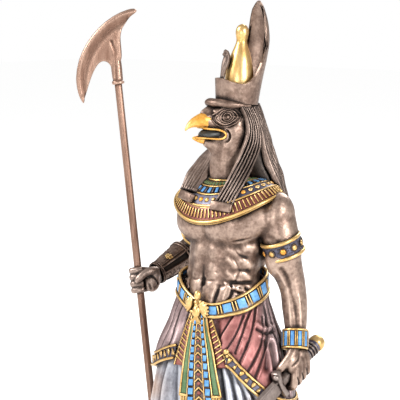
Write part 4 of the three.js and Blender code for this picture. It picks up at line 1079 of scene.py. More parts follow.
def kiltSkin(across, up):
    angle = across * 360 - 180
    low = hemTop(angle) - 1.2
    return kiltPlace(angle, low + (beltMiddle(angle) + 1 - low) * up, 1.3 - 0.5 * up)


bm = bmesh.new()
wrapGrid(bm, 340, 96, kiltSkin, closed=True)
bmesh.ops.recalc_face_normals(bm, faces=bm.faces)
kiltMesh = bpy.data.meshes.new("kilt")
bm.to_mesh(kiltMesh)
bm.free()
pleats = {
    # Flat pleats that sweep from the left hip to the middle: angle and height
    "sweeping": [[(45, 131), (38, 126), (32, 121.8), (29, 119)], [(59, 131.4), (51, 125), (44, 119.6), (38, 114.9)],
                 [(71, 134), (62, 129), (54, 122), (46, 113.8)], [(80, 136), (70, 127), (60, 118.6), (48.5, 108.4)],
                 [(86, 130), (79, 121), (66, 112), (55, 104.4)], [(92, 128), (84, 118), (70, 109), (61.6, 101.4)]],
    "hanging": [[(96, 139), (93, 131), (90, 126)], [(106, 141), (102, 131), (98, 121), (94, 110), (92, 97)], [(118, 143), (112, 130), (108, 116), (104, 102), (101, 91)],
                [(-8, 134), (-10, 127), (-9, 120)], [(-20, 138), (-24, 128), (-21, 118), (-22, 113.5)], [(-31, 140), (-35, 130), (-32, 121), (-34, 112)],
                [(-43, 142), (-45, 131), (-42, 120), (-45, 110)]],
}
pleatMarks = random.Random(5)
for k in range(19):
    angle = 128 + k * 9.6
    sway = pleatMarks.uniform(-2, 2)
    pleats["hanging"].append([(angle - 2, 146), (angle + sway, 132), (angle - sway, 118), (angle + 1, 104), (angle, hemTop(angle) + 1)])
strokes = []
for line in pleats["sweeping"]:
    strokes.append((onKilt(line, 1.2), 0.5, 1.15))
    strokes.append((onKilt([(angle + 2.2, z + 0.3) for angle, z in line], 1.3), 0.55, -0.5))
    strokes.append((onKilt([(angle - 3.6, z) for angle, z in line], 1.2), 1.8, 0.35))
for line in pleats["hanging"]:
    strokes.append((onKilt(line, 1.2), 0.65, 1.35))
    strokes.append((onKilt([(angle + 4.4, z) for angle, z in line], 1.4), 1.7, -0.6))
    strokes.append((onKilt([(angle + 2.2, z) for angle, z in line], 1.2), 0.35, -0.3))
strokes += [
    # Knot crease and the recess under it on the left hip
    (onKilt([(73, 124.6), (83, 122.6), (92, 122.2), (101, 122.8)], 1.2), 0.7, 1.4),
    (onKilt([(74, 127.2), (83, 125), (92, 124.6), (101, 125.2)], 1.3), 0.9, -0.9),
    (onKilt([(75, 121.6), (84, 119.8), (93, 119.6)], 1.3), 0.7, -0.6),
    (onKilt([(83, 119), (80, 113), (76, 106.5)], 1.2), 2.3, 2.0), (onKilt([(88, 117), (86, 110), (84, 103)], 1.2), 1.2, 1.1),
    (onKilt([(94, 118), (92, 108), (90, 98)], 1.4), 1.8, -0.9),
    # Hollows on both sides of the apron
    (onKilt([(-4, 127), (-8, 120), (-9, 117)], 1.2), 2.4, 1.4), (onKilt([(28, 128), (30, 122), (31, 118)], 1.2), 1.8, 1.3),
]
for _ in range(90):
    angle, z = pleatMarks.uniform(-70, 130), pleatMarks.uniform(108, 136)
    strokes.append((onKilt([(angle, z), (angle + pleatMarks.uniform(-3, 3), z - pleatMarks.uniform(1, 4))], 1.2),
                    pleatMarks.uniform(0.5, 1.1), pleatMarks.uniform(-0.22, 0.3)))
carve(kiltMesh, strokes)
markRelief(kiltMesh, 16, 1.0)
addTint(kiltMesh, lambda angle, z: min(1, 1.15 * math.exp(-((angle - 52) / 30) ** 4)))
kiltPiece = addMesh(kiltMesh, "kilt", [kiltMauve])
wall = kiltPiece.modifiers.new("wall", "SOLIDIFY")
wall.thickness, wall.offset = 1.2 * mm, -1
settled(kiltPiece)
print("kilt ready")

# Long under-skirt, with soft falling folds
skirt = {"hem": 59.2, "wall": 1.6}


def skirtSkin(across, up):
    angle = across * 360 - 180
    z = skirt["hem"] + (hemTop(angle) - 2 - skirt["hem"]) * up
    flare = 0.4 * math.sin(math.radians(angle * 7 + 40)) * (1 - up)
    return kiltPlace(angle, z, -0.9 + flare)


bm = bmesh.new()
wrapGrid(bm, 260, 84, skirtSkin, closed=True)
bmesh.ops.recalc_face_normals(bm, faces=bm.faces)
skirtMesh = bpy.data.meshes.new("skirt")
bm.to_mesh(skirtMesh)
bm.free()
folds = [[(30, 112), (34, 100), (37, 84), (38, 59)], [(38, 108), (43, 98), (47, 82), (49, 59)], [(46, 103), (53, 92), (58, 76), (60, 59)],
         [(56, 98), (64, 86), (69, 72), (71, 59)], [(70, 90), (78, 78), (82, 59)], [(-12, 110), (-9, 96), (-6, 80), (-6, 59)],
         [(-24, 106), (-27, 90), (-24, 74), (-25, 59)], [(-44, 104), (-46, 88), (-50, 72), (-49, 59)], [(-66, 104), (-64, 86), (-68, 72), (-66, 59)],
         [(-84, 104), (-86, 84), (-83, 59)]]
for k in range(15):
    angle = 94 + k * 11.4
    sway = pleatMarks.uniform(-2.5, 2.5)
    folds.append([(angle, 98), (angle + sway, 84), (angle - sway * 0.6, 70), (angle, 59)])
strokes = []
for k, line in enumerate(folds):
    front = abs(turned(line[0][0])) < 30 or line[0][0] < 0
    deep = 0.7 if front else 1.25
    strokes.append((onKilt(line, -0.9), 1.3, deep))
    strokes.append((onKilt([(angle + 4, z) for angle, z in line], -0.8), 2.0, -deep * 0.75))
    strokes.append((onKilt([(angle - 3.4, z) for angle, z in line], -0.9), 0.5, 0.3))
carve(skirtMesh, strokes)
markRelief(skirtMesh, 20, 0.8)
addTint(skirtMesh, lambda angle, z: min(1, 0.9 * math.exp(-((angle + 40) / 16) ** 2 - ((z - 92) / 8) ** 2)
                                         + 0.5 * math.exp(-((angle - 62) / 10) ** 2 - ((z - 78) / 14) ** 2)
                                         + 0.6 * math.exp(-((abs(angle) - 130) / 14) ** 2 - ((z - 76) / 10) ** 2)))
skirtPiece = addMesh(skirtMesh, "skirt", [skirtGrey])
wall = skirtPiece.modifiers.new("wall", "SOLIDIFY")
wall.thickness, wall.offset = skirt["wall"] * mm, -1
settled(skirtPiece)
print("skirt ready")


# Hem band: dark ground, gold lines and gold triangles
bm = bmesh.new()


def hemGround(across, up):
    # Runs round the back and stops at each side of the apron
    angle = 37.6 + across * 311
    return kiltPlace(angle, hemTop(angle) - kilt["band"] * (1 - up), 1.7)


wrapGrid(bm, 300, 6, hemGround, paint=lambda across, up: 1)
for edge, radius in ((0, 0.68), (1, 0.72)):
    tube(bm, [(*hemGround(k / 150, edge), radius, radius) for k in range(151)], 8, 300, (0.3, 0.2, 0.9))
steps = 66
for k in range(steps):
    angle = 37.6 + 311 * (k + 0.6) / steps
    here = kiltPlace(angle, hemTop(angle) - kilt["band"] * 0.52, 1.75)
    ahead = kiltPlace(angle + 1, hemTop(angle + 1) - kilt["band"] * 0.52, 1.75)
    u = ahead - here
    brick(bm, here, u, (0, 0, 1) if k % 2 else (0, 0, -1), (2.5, 3.6, 1.0) if k % 2 == 0 else (-2.5, 3.6, 1.0), 0.0, 0, 0.12)
stud(bm, kiltPlace(38.2, 114.2, 1.9), (0.6, -0.8, 0.1), 1.5, 1.1, 0)
stud(bm, kiltPlace(39.2, 112.2, 1.8), (0.6, -0.8, 0.1), 1.0, 0.9, 0)
bmesh.ops.recalc_face_normals(bm, faces=bm.faces)
addPiece(bm, "hem_band", [goldPaint, studBlack])
print("hem ready")


# Belt: gold rims, blue tiles and pairs of bars
def beltPlace(angle, rise, grow=1.9):
    half = between(kilt["beltHalf"], turned(angle))[0]
    return kiltPlace(angle, beltMiddle(angle) + rise * half, grow)


bm = bmesh.new()
wrapGrid(bm, 160, 6, lambda across, up: beltPlace(across * 360 - 180, up * 2 - 1), closed=True, paint=lambda across, up: 1)
for edge in (-1, 1):
    loop(bm, [beltPlace(k * 2.5 - 180, edge, 1.9) for k in range(144)], 0.72, 10, 0, 1.1)
tiles = evenAngles(lambda a: beltPlace(a, 0), 38)
for k, angle in enumerate(tiles):
    here = beltPlace(angle, 0, 1.95)
    u = beltPlace(angle + 1, 0) - beltPlace(angle - 1, 0)
    half = between(kilt["beltHalf"], angle)[0]
    if k % 2:
        brick(bm, here, u, (0, 0, 1), (4.3, half * 1.5, 1.0), 0.22, 2)
    else:
        for shift in (-0.85, 0.85):
            brick(bm, here + u.normalized() * shift, u, (0, 0, 1), (0.62, half * 1.6, 1.3), 0.16, 0)
bmesh.ops.recalc_face_normals(bm, faces=bm.faces)
addPiece(bm, "belt", [goldPaint, darkBronze, blueEnamel])
print("belt ready")


# Apron panels hanging from the buckle: middle line and half width by height
apron = {
    "line": [(58, 15.2, -34.4, 14.2), (76, 14, -32.8, 12.6), (92, 12.2, -31, 10.8), (104, 9.8, -28.8, 9), (114, 7.8, -26.6, 7.4), (124, 5.6, -24, 5.2), (134, 3.4, -20.6, 3.3)],
    "outer": [(104, 15.2), (107, 14.2), (120, 9.9), (131, 5.6), (134, 4.6)], "end": 58, "greenEnd": 92.5, "top": 133.6, "curve": 0.012,
}


def apronPlace(z, across, lift=0.0):
    x, y, half = curved(apron["line"], z)
    facing = math.atan2(x, -y)
    out = Vector((math.sin(facing), -math.cos(facing), 0))
    return Vector((x, y, z)) + Vector((math.cos(facing), math.sin(facing), 0)) * across + out * (lift - apron["curve"] * across ** 2)


def apronHalf(z):
    return curved(apron["line"], z)[2]


def addStrip(bm, left, right, low, high, lift, material, rows=40, columns=3):
    # left and right give the distance from the middle line at a height
    def place(across, up):
        z = low + (high - low) * up
        return apronPlace(z, left(z) + (right(z) - left(z)) * across, lift)
    wrapGrid(bm, columns, rows, place, paint=lambda across, up: material)


def addApronWire(bm, across, low, high, lift, radius, material=0):
    tube(bm, [(*apronPlace(low + (high - low) * k / 24, across(low + (high - low) * k / 24), lift), radius, radius) for k in range(25)], 8, 48, (1, 0, 0), material)


def share(fraction):
    return lambda z: fraction * apronHalf(z)


bm = bmesh.new()
end, greenEnd, top = apron["end"], apron["greenEnd"], apron["top"]
addStrip(bm, share(-0.6), share(0.6), end, top, 0, 1)
for side in (-1, 1):
    addStrip(bm, share(side * 0.6), share(side * 1.0), greenEnd, top, -0.1, 2)
    addStrip(bm, lambda z: side * apronHalf(z), lambda z: side * between(apron["outer"], z)[0], 106, top, -1.0, 3)
bmesh.ops.recalc_face_normals(bm, faces=bm.faces)
apronBase = addPiece(bm, "apron_panels", [goldPaint, darkBronze, greenEnamel, redEnamel])
wall = apronBase.modifiers.new("wall", "SOLIDIFY")
wall.thickness, wall.offset = 1.5 * mm, 0
settled(apronBase)
bm = bmesh.new()
for side in (-1, 1):
    addApronWire(bm, share(side * 0.24), end, top, 0.75, 0.3)
    addApronWire(bm, share(side * 0.61), end, top, 0.75, 0.42)
    addApronWire(bm, share(side * 1.0), greenEnd - 0.6, top, 0.65, 0.5)
    addApronWire(bm, lambda z: side * between(apron["outer"], z)[0], 106, top, -0.3, 0.5)
    z = top - 3
    while z > end + 2:
        # Blue tiles and the bars between them grow towards the hem
        grown = apronHalf(z) / 10.8
        pitch = 2.2 + 2.2 * grown
        here = apronPlace(z, side * 0.43 * apronHalf(z), 0.75)
        across = apronPlace(z, 2) - apronPlace(z, 1)
        down = apronPlace(z - 1, side * 0.43 * apronHalf(z - 1)) - apronPlace(z + 1, side * 0.43 * apronHalf(z + 1))
        brick(bm, here, across, -down, (apronHalf(z) * 0.24, pitch * 0.74, 1.0), 0.2, 1)
        z -= pitch
    z = top - 3.4
    while z > 107.5:
        # Slanting gold bars on the outer panels
        middle = (apronHalf(z) + between(apron["outer"], z)[0]) / 2
        width = between(apron["outer"], z)[0] - apronHalf(z)
        here = apronPlace(z, side * middle, -0.1)
        across = apronPlace(z, side * (middle + 1)) - apronPlace(z, side * middle)
        brick(bm, here, across + Vector((0, 0, 0.75)), (0, 0, 1), (width * 1.15, 0.62, 0.9), 0.14, 0)
        z -= 2.35
    for k in range(3):
        # Tassel at the green panel's end
        here = apronPlace(greenEnd - 1.6, side * apronHalf(greenEnd) * (0.68 + 0.12 * k), 0.3)
        lump(bm, here, (0.75, 0.7, 2.0), detail=2)
    here = apronPlace(greenEnd, side * apronHalf(greenEnd) * 0.8, 0.5)
    brick(bm, here, apronPlace(greenEnd, side * 9) - apronPlace(greenEnd, side * 8), (0, 0, 1), (apronHalf(greenEnd) * 0.4, 1.3, 1.5), 0.3, 0)
z = top - 3.2
while z > end + 3:
    # Chevrons on the middle panel
    width = apronHalf(z) * 0.42
    pitch = 2.3 + 2.4 * apronHalf(z) / 10.8
    across = (apronPlace(z, 1) - apronPlace(z, 0)).normalized()
    for sign in (1, -1):
        here = apronPlace(z - pitch * 0.12, sign * width * 0.27, 0.75)
        brick(bm, here, across * sign + Vector((0, 0, -0.95)), (0, 0, 1), (width * 0.78, 0.6, 0.9), 0.12, 0)
    stud(bm, apronPlace(z - pitch * 0.5, 0, 0.7), across.cross(Vector((0, 0, 1))), width * 0.3, 0.55, 2, 1)
    z -= pitch
brick(bm, apronPlace(end + 0.8, 0, 0.6), apronPlace(end, 1) - apronPlace(end, 0), (0, 0, 1), (apronHalf(end) * 1.24, 1.7, 1.6), 0.35, 0)
bmesh.ops.recalc_face_normals(bm, faces=bm.faces)
addPiece(bm, "apron_cells", [goldPaint, blueEnamel, redEnamel])
print("apron ready")


# Winged buckle: a bead over a small winged body
bm = bmesh.new()
buckle = {"bead": (4, 140.2), "body": (6, 132.4), "wings": [(14, 134.4, 1, 7, 4.9), (-7, 136.2, -1, 7, 4.4)]}
lump(bm, kiltPlace(*buckle["bead"], 3.0), (1.75, 1.7, 2.7))
lump(bm, kiltPlace(buckle["bead"][0], buckle["bead"][1] - 3.2, 3.0), (1.5, 1.5, 1.2))
lump(bm, kiltPlace(*buckle["body"], 3.4), (2.1, 1.9, 3.4))
lump(bm, kiltPlace(buckle["body"][0], buckle["body"][1] + 3.0, 3.8), (1.5, 1.5, 1.5))
for angle, z, side, feathers, reach in buckle["wings"]:
    root = kiltPlace(angle - side * 4, z - 1.0, 3.0)
    u = (kiltPlace(angle + 2, z) - kiltPlace(angle - 2, z)).normalized() * side
    for k in range(feathers):
        a = math.radians(-48 + 138 * k / (feathers - 1))
        tip = root + u * (reach * math.cos(a)) + Vector((0, 0, reach * math.sin(a)))
        middle = root.lerp(tip, 0.6)
        out = Vector((0.4, -0.6, 0)) * (0.9 - 0.1 * (k % 2))
        tube(bm, [(*(root + out * 0.6), 0.55, 0.6), (*(middle + out), 0.85, 0.8), (*(tip + out * 0.5), 0.5, 0.5)], 10, 8, (0.3, 0.2, 0.9))
for k in range(7):
    # Tail feathers over the apron's top
    a = math.radians(-42 + 14 * k)
    root = kiltPlace(6, 130.4, 3.2)
    u = (kiltPlace(8, 131) - kiltPlace(4, 131)).normalized()
    tip = root + u * (4.4 * math.sin(a)) + Vector((0.2, -0.5, -4.4 * math.cos(a)))
    tube(bm, [(*root, 0.5, 0.5), (*root.lerp(tip, 0.6), 0.62, 0.7), (*tip, 0.55, 0.55)], 8, 6, (1, 0, 0))
buckleMesh = fuse(bm, "buckle", 0.24, 2, 0.4)
markRelief(buckleMesh, 8, 1.5)
addMesh(buckleMesh, "buckle", [goldPaint])
print("buckle ready")


# Staff: a leaning shaft with soft flats, and a crescent blade on a socket
staff = {
    "foot": (-35, -4.5, 12), "top": (-62.2, -11.7, 250), "radius": 1.9, "mouth": 242, "grip": (-49.7, -8.4, 141.6),
    "outline": [((1.7, 13), (2.2, 16.5), (0.9, 22), (1.3, 25.4)), ((1.3, 25.4), (1.5, 28), (2.6, 29.4), (4.4, 31.5)), ((4.4, 31.5), (6.4, 34), (8.8, 35.5), (9.6, 37.4)),
                ((9.6, 37.4), (9.6, 39.0), (7, 38.8), (5, 38.2)), ((5, 38.2), (-8, 34.5), (-21.5, 19), (-21.6, 3)),
                ((-21.6, 3), (-21.4, -3), (-20, -7.5), (-17.9, -9.9)), ((-17.9, -9.9), (-16.4, -9), (-16.2, -5), (-15.2, -1)),
                ((-15.2, -1), (-13.6, 5), (-10.6, 11.8), (-7.6, 11.8)), ((-7.6, 11.8), (-4.6, 11.8), (-3.2, 9), (-2.7, 5))],
    "thick": 3.0, "turn": 42,
}


def staffPlace(z):
    low, high = Vector(staff["foot"]), Vector(staff["top"])
    return low + (high - low) * ((z - low.z) / (high.z - low.z))


bm = bmesh.new()
rings = tube(bm, [(*staffPlace(z), staff["radius"], staff["radius"]) for z in (12.05, 60, 110, 160, 210, 244)], 24, 60, (0, 1, 0))
for ring in rings:
    middle = sum((v.co for v in ring), Vector()) / len(ring)
    for k, v in enumerate(ring):
        v.co = middle + (v.co - middle) * (1.0 if k % 4 else 0.93)
bmesh.ops.recalc_face_normals(bm, faces=bm.faces)
shaftPiece = addPiece(bm, "staff_pole", [staffBrown])
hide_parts("staff_shaft")


def drawnPlate(bm, outline, thick, place, edge=0.0, segments=1):
    # A flat shape pulled up to its thickness, with softened rims; place sets it on the object
    low = [bm.verts.new((x * mm, y * mm, -thick / 2 * mm)) for x, y in outline]
    face = bm.faces.new(low)
    made = bmesh.ops.extrude_face_region(bm, geom=[face])
    top = [v for v in made["geom"] if isinstance(v, bmesh.types.BMVert)]
    bmesh.ops.translate(bm, vec=(0, 0, thick * mm), verts=top)
    if edge:
        rims = [e for e in {e for v in low + top for e in v.link_edges} if (e.verts[0] in low) == (e.verts[1] in low)]
        made = bmesh.ops.bevel(bm, geom=rims, offset=edge * mm, offset_type="OFFSET", segments=segments, profile=0.5, affect="EDGES", material=-1)
        verts = set(low + top) | set(made["verts"])
        verts = [v for v in verts if v.is_valid]
    else:
        verts = low + top
    bmesh.ops.transform(bm, matrix=place, verts=verts)
    return verts


def outlinePoints(curves, count):
    points = []
    for a, b, c, d in curves:
        for k in range(count):
            t = k / count
            points.append(tuple((1 - t) ** 3 * a[i] + 3 * t * (1 - t) ** 2 * b[i] + 3 * t * t * (1 - t) * c[i] + t ** 3 * d[i] for i in (0, 1)))
    points.append(curves[-1][-1])
    return points


bladeRoot = staffPlace(staff["mouth"])
bladePlace = (Matrix.Translation(bladeRoot * mm) @ Matrix.Rotation(math.radians(staff["turn"]), 4, "Z") @ Matrix.Rotation(math.pi / 2, 4, "X"))


def onBlade(x, y, out=1.5):
    return tuple((bladePlace @ Vector((x * mm, y * mm, out * mm))) / mm)


bm = bmesh.new()
drawnPlate(bm, outlinePoints(staff["outline"], 10), staff["thick"], bladePlace, 0.9, 2)
for z, radius in ((0, 3.1),):
    tube(bm, [(*staffPlace(staff["mouth"] + up), r, r) for up, r in ((0, 2.8), (0.3, 3.15), (1.5, 3.2), (2.1, 2.75), (6, 2.8), (10, 2.8), (14, 2.5), (18, 2.0), (22, 1.4), (25, 0.9))], 24, 60)
bladeMesh = fuse(bm, "crescent", 0.36, 7)
outer = [(8.4, 37), (2.6, 35.6), (-4.6, 31.4), (-11.6, 24.8), (-16.8, 16.4), (-19.4, 8), (-19.6, 1), (-18.6, -5)]
strokes = []
for face in (1, -1):
    strokes.append(([onBlade(x + 1.9, y - 2.3, 1.5 * face) for x, y in outer], 1.7, 0.75))
    strokes.append(([onBlade(x, y, 1.5 * face) for x, y in outer], 0.8, -0.3))
    strokes.append(([onBlade(-1.0, 3, 2.6 * face), onBlade(-1.2, 10, 2.6 * face), onBlade(-1.6, 16, 2.2 * face), onBlade(-3.4, 22, 1.5 * face)], 0.8, 0.6))
    strokes.append(([onBlade(1.0, 3, 2.6 * face), onBlade(0.9, 12, 2.4 * face), onBlade(0.2, 20, 2 * face), onBlade(0.6, 27, 1.5 * face)], 1.0, -0.35))
strokes.append(([tuple(staffPlace(staff["mouth"] + 2.2) + Vector((2.9 * math.cos(a), 2.9 * math.sin(a), 0))) for a in [k * math.pi / 8 for k in range(17)]], 0.4, 0.35))
carve(bladeMesh, strokes)
markRelief(bladeMesh, 20, 1.0)
bladePiece = addMesh(bladeMesh, "crescent_blade", [staffBrown])
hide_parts("staff_blade")
print("staff ready")


# Right hand, closed round the staff: the thumb lies over the fingers' ends
def gripFrame(centre, axis, right):
    w = Vector(axis).normalized()
    r = (Vector(right) - w * Vector(right).dot(w)).normalized()
    return Vector(centre), r, w.cross(r) * -1, w


handFrame = gripFrame(staff["grip"], Vector(staff["top"]) - Vector(staff["foot"]), (0.743, 0.669, 0))


def inHand(r, c, z):
    centre, right, near, up = handFrame
    return tuple(centre + right * r + near * c + up * z)


bm = bmesh.new()
for k, (rise, thick) in enumerate(((5.2, 1.6), (1.8, 1.72), (-1.7, 1.7), (-5.0, 1.5))):
    rows = [(*inHand(6.2, -2.6, rise * 0.8), 1.7, 1.9)]
    for step in range(9):
        a = math.radians(-48 - step * 32)
        reach = 3.35 + (0.45 if step in (2, 5) else 0)
        rows.append((*inHand(reach * math.cos(a), reach * math.sin(a), rise + 0.06 * step), thick - 0.02 * step, thick + (0.12 if step in (2, 5) else 0)))
    tube(bm, rows, 14, 40, (0, 0, 1))
tube(bm, [(*inHand(9.4, 0.4, 3.6), 2.6, 2.8), (*inHand(6.8, 2.8, 4.4), 2.3, 2.4), (*inHand(3.2, 4.4, 3.6), 1.8, 2), (*inHand(0.6, 5, 1.9), 1.75, 1.9),
          (*inHand(-1.2, 4.9, 0.4), 1.4, 1.5), (*inHand(-1.9, 4.6, -0.2), 0.6, 0.7)], 14, 26, (0, 0, 1))
tube(bm, [(-46.2, 6.5, 146.4, 4.4, 4.4), (-46.9, 1.2, 144, 4.4, 4.5), (*inHand(6.6, -1.2, 0.6), 4.8, 4.6), (*inHand(5.6, -1.4, -0.8), 4.4, 4)], 20, 16)
lump(bm, inHand(6.6, 0.6, -1.0), (4.2, 4.2, 5.6), (0, 6, 42))
lump(bm, inHand(8.2, 1.6, 1.6), (3, 2.8, 4), (0, 10, 42))
handMesh = fuse(bm, "right_hand", 0.4, 5, 0.5, uneven=0.05, grainSize=3)
carve(handMesh, [
    ([inHand(9.6, 3, -2.4), inHand(8.4, 4.4, 0.4), inHand(6.4, 4.4, 2), inHand(4.6, 4.6, 1.4)], 0.5, 0.6),
    ([inHand(3, 5, -1), inHand(4.6, 4.4, -3), inHand(5.4, 3.6, -5.4)], 0.9, 1.0),
    ([inHand(8, 4, -4), inHand(9.4, 3, -2)], 1.2, 0.5),
])
markRelief(handMesh, 14, 1.0)
# The right hand takes the darker copy of the bronze as painted shade
addMesh(handMesh, "right_hand", [darkBronze])


# Sword held in the left fist, its blade dipping forward
sword = {"grip": (40.4, 5.2, 103.2), "dip": 31, "blade": 52, "guard": 9.2, "pommel": 22.6}
dip = math.radians(sword["dip"])
swordAxes = (Vector((0, -math.cos(dip), -math.sin(dip))), Vector((1, 0, 0)), Vector((0, -math.sin(dip), math.cos(dip))))


def onSword(along, out, rise):
    s, x, p = swordAxes
    return tuple(Vector(sword["grip"]) + s * along + x * out + p * rise)


swordPlace = Matrix.Translation(Vector(sword["grip"]) * mm) @ Matrix((swordAxes[0], swordAxes[2], swordAxes[0].cross(swordAxes[2]))).transposed().to_4x4()
start, long = sword["guard"], sword["blade"]
bm = bmesh.new()
bladeCurves = [((start - 1, -4.3), (start + 12, -4.4), (start + 30, -6.2), (start + 40, -4.4)), ((start + 40, -4.4), (start + 46, -3), (start + 50, -1), (start + long, 0)),
               ((start + long, 0), (start + 50, 1), (start + 46, 3), (start + 40, 4.4)), ((start + 40, 4.4), (start + 30, 6.2), (start + 12, 4.4), (start - 1, 4.3))]
drawnPlate(bm, outlinePoints(bladeCurves, 8)[:-1], 2.2, swordPlace, 1.0, 1)
bmesh.ops.remove_doubles(bm, verts=bm.verts, dist=0.002 * mm)
tube(bm, [(*onSword(start + 1, 0, 2.3), 1.35, 1.0), (*onSword(start + 14, 0, 2.4), 1.3, 0.9), (*onSword(start + 30, 0, 2.6), 1.2, 0.8), (*onSword(start + 46, 0, 0.8), 0.7, 0.3)], 12, 30, (0, 0.5, 0.86))
guardCurves = [((start - 1.2, -6.9), (start + 0.2, -3), (start + 0.2, 3), (start - 1.2, 6.9)), ((start - 1.2, 6.9), (start - 0.6, 7.5), (start + 1.4, 7.5), (start + 1.9, 7)),
               ((start + 1.9, 7), (start + 3, 3), (start + 3, -3), (start + 1.9, -7)), ((start + 1.9, -7), (start + 1.4, -7.5), (start - 0.6, -7.5), (start - 1.2, -6.9))]
drawnPlate(bm, outlinePoints(guardCurves, 6)[:-1], 4.4, swordPlace, 0.5, 2)
lump(bm, onSword(start + 2.6, 1.4, 5.6), (1.5, 1.6, 1.5))
tube(bm, [(*onSword(a, 0, 0), r, r) for a, r in ((-16, 2.4), (-8, 2.3), (0, 2.4), (8, 2.4), (9.6, 2.6))], 20, 20, (0, 0.5, 0.86))
bmesh.ops.recalc_face_normals(bm, faces=bm.faces)
swordPiece = addPiece(bm, "sword_blade", [bladeSteel])
edgeSplit = swordPiece.modifiers.new("edges", "EDGE_SPLIT")
edgeSplit.split_angle = math.radians(32)
settled(swordPiece)
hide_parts("sword")
bm = bmesh.new()
for k in range(5):
    along = -11.2 - k * 1.9
    radius = 2.7 + 0.17 * k
    loop(bm, [onSword(along, radius * math.cos(a), radius * math.sin(a)) for a in [n * math.pi / 16 for n in range(32)]], 0.62, 10, 1)
tube(bm, [(*onSword(a, 0, 0), r, r) for a, r in ((-9.6, 2.3), (-14, 2.7), (-19, 3.2), (-20.6, 3.5), (-21.2, 3.7))], 24, 20, (0, 0.5, 0.86), 2)
tube(bm, [(*onSword(a, 0, 0), r, r) for a, r in ((-20.8, 3.5), (-21.4, 4.05), (-23, 4.2), (-24.8, 3.8), (-26, 2.9), (-26.7, 1.7), (-26.95, 0.4))], 28, 30, (0, 0.5, 0.86), 0)
bmesh.ops.recalc_face_normals(bm, faces=bm.faces)
addPiece(bm, "sword_hilt", [goldPaint, bladeSteel, studBlack])
print("sword ready")

bm = bmesh.new()
knuckles = [(-7.3, 1.9), (-3.5, 2.1), (0.4, 2.15), (4.2, 2.05)]
wrist = Vector((39.7, 9.5, 116))
for k, (along, thick) in enumerate(knuckles):
    knuckle = Vector(onSword(along, 3.3, -3.4))
    spread = Vector((0, 1, -0.25)).normalized() * (1.5 - k) * 1.5
    root = wrist + spread
    rows = [(*(root + Vector((0, 0, 3))), 3, 3), (*root, 2.9, 2.9), (*(root.lerp(knuckle, 0.5) + Vector((1.5, -0.2, 0))), 2.8, 2.6), (*knuckle, thick, thick + 0.15),
            (*onSword(along + 0.2, 2.3, -5.4), thick, thick), (*onSword(along + 0.4, -0.8, -6.0), thick - 0.15, thick - 0.1),
            (*onSword(along + 0.4, -3.8, -4.0), thick - 0.2, thick - 0.15), (*onSword(along + 0.4, -4.6, -0.8), thick - 0.3, thick - 0.2), (*onSword(along + 0.3, -3.8, 1.8), thick - 0.5, thick - 0.4)]
    tube(bm, rows, 14, 48, (1, 0, 0.3))
tube(bm, [(*onSword(-9.4, 0.4, 10.2), 3, 3), (*onSword(-3, 1.6, 8.0), 2.9, 2.7), (*onSword(2, 0.6, 6.8), 2.3, 2.2), (*onSword(5, -0.6, 5.8), 1.9, 1.9), (*onSword(7, -1.6, 4.8), 1.2, 1.2)], 14, 26, (1, 0, 0.3))
lump(bm, onSword(-3, 2.4, 2.4), (3.2, 7.4, 6.2), (-31, 0, 0))
lump(bm, onSword(-7, 1.6, 4.6), (3.4, 5, 5.4), (-31, 0, 0))
handMesh = fuse(bm, "left_hand", 0.42, 6, 0.5, uneven=0.05, grainSize=3)
carve(handMesh, [([tuple(Vector(onSword((a + b) / 2, 5.4, -1.2))), tuple(Vector(onSword((a + b) / 2, 5.2, -4.2))), tuple(Vector(onSword((a + b) / 2 + 0.2, 3.4, -7)))], 0.45, 0.6)
                 for (a, _), (b, _) in zip(knuckles, knuckles[1:])]
      + [([tuple(Vector(onSword(3, 4.6, 5.2))), tuple(Vector(onSword(-2, 5.2, 5.6))), tuple(Vector(onSword(-6, 5, 7)))], 0.7, 0.6),
         ([tuple(Vector(onSword(6.4, 3, 3.6))), tuple(Vector(onSword(3.6, 4.4, 2.6)))], 0.6, 0.6)])
markRelief(handMesh, 14, 1.0)
addMesh(handMesh, "left_hand", [bronze])
print("hands ready")


# Legs below the skirt, and feet in sandals
legs = {
    "right": [(-12.5, -5, 84, 9.6, 9.6), (-12.8, -8.5, 70, 8.2, 8.4), (-13.2, -6.8, 52, 7.3, 7.8), (-13.6, -7.2, 42, 6.6, 7.2), (-13.6, -7.6, 32, 5.3, 5.6), (-13.8, -8.4, 22, 4.1, 4.6), (-13.8, -8.6, 15, 4.2, 5)],
    "left": [(12, 2, 84, 9.6, 9.6), (12.6, 2.5, 70, 8.2, 8.4), (13.8, 7, 52, 7.3, 7.8), (14.4, 8.4, 42, 6.6, 7.2), (14.8, 9, 32, 5.3, 5.6), (15.2, 10, 22, 4.1, 4.6), (15.2, 10.2, 15, 4.2, 5)],
    "feet": {"right": (-14, -9.4, -14, 1), "left": (15.4, 9.6, 14, -1)}, "ground": 12.0, "sole": 1.7,
}


def footPlace(foot, x, y, z):
    # Local X runs to the inner side and the toes point to minus Y
    fx, fy, turn, inner = legs["feet"][foot]
    a = math.radians(turn)
    x *= inner
    return (fx + x * math.cos(a) - y * math.sin(a), fy + x * math.sin(a) + y * math.cos(a), z)


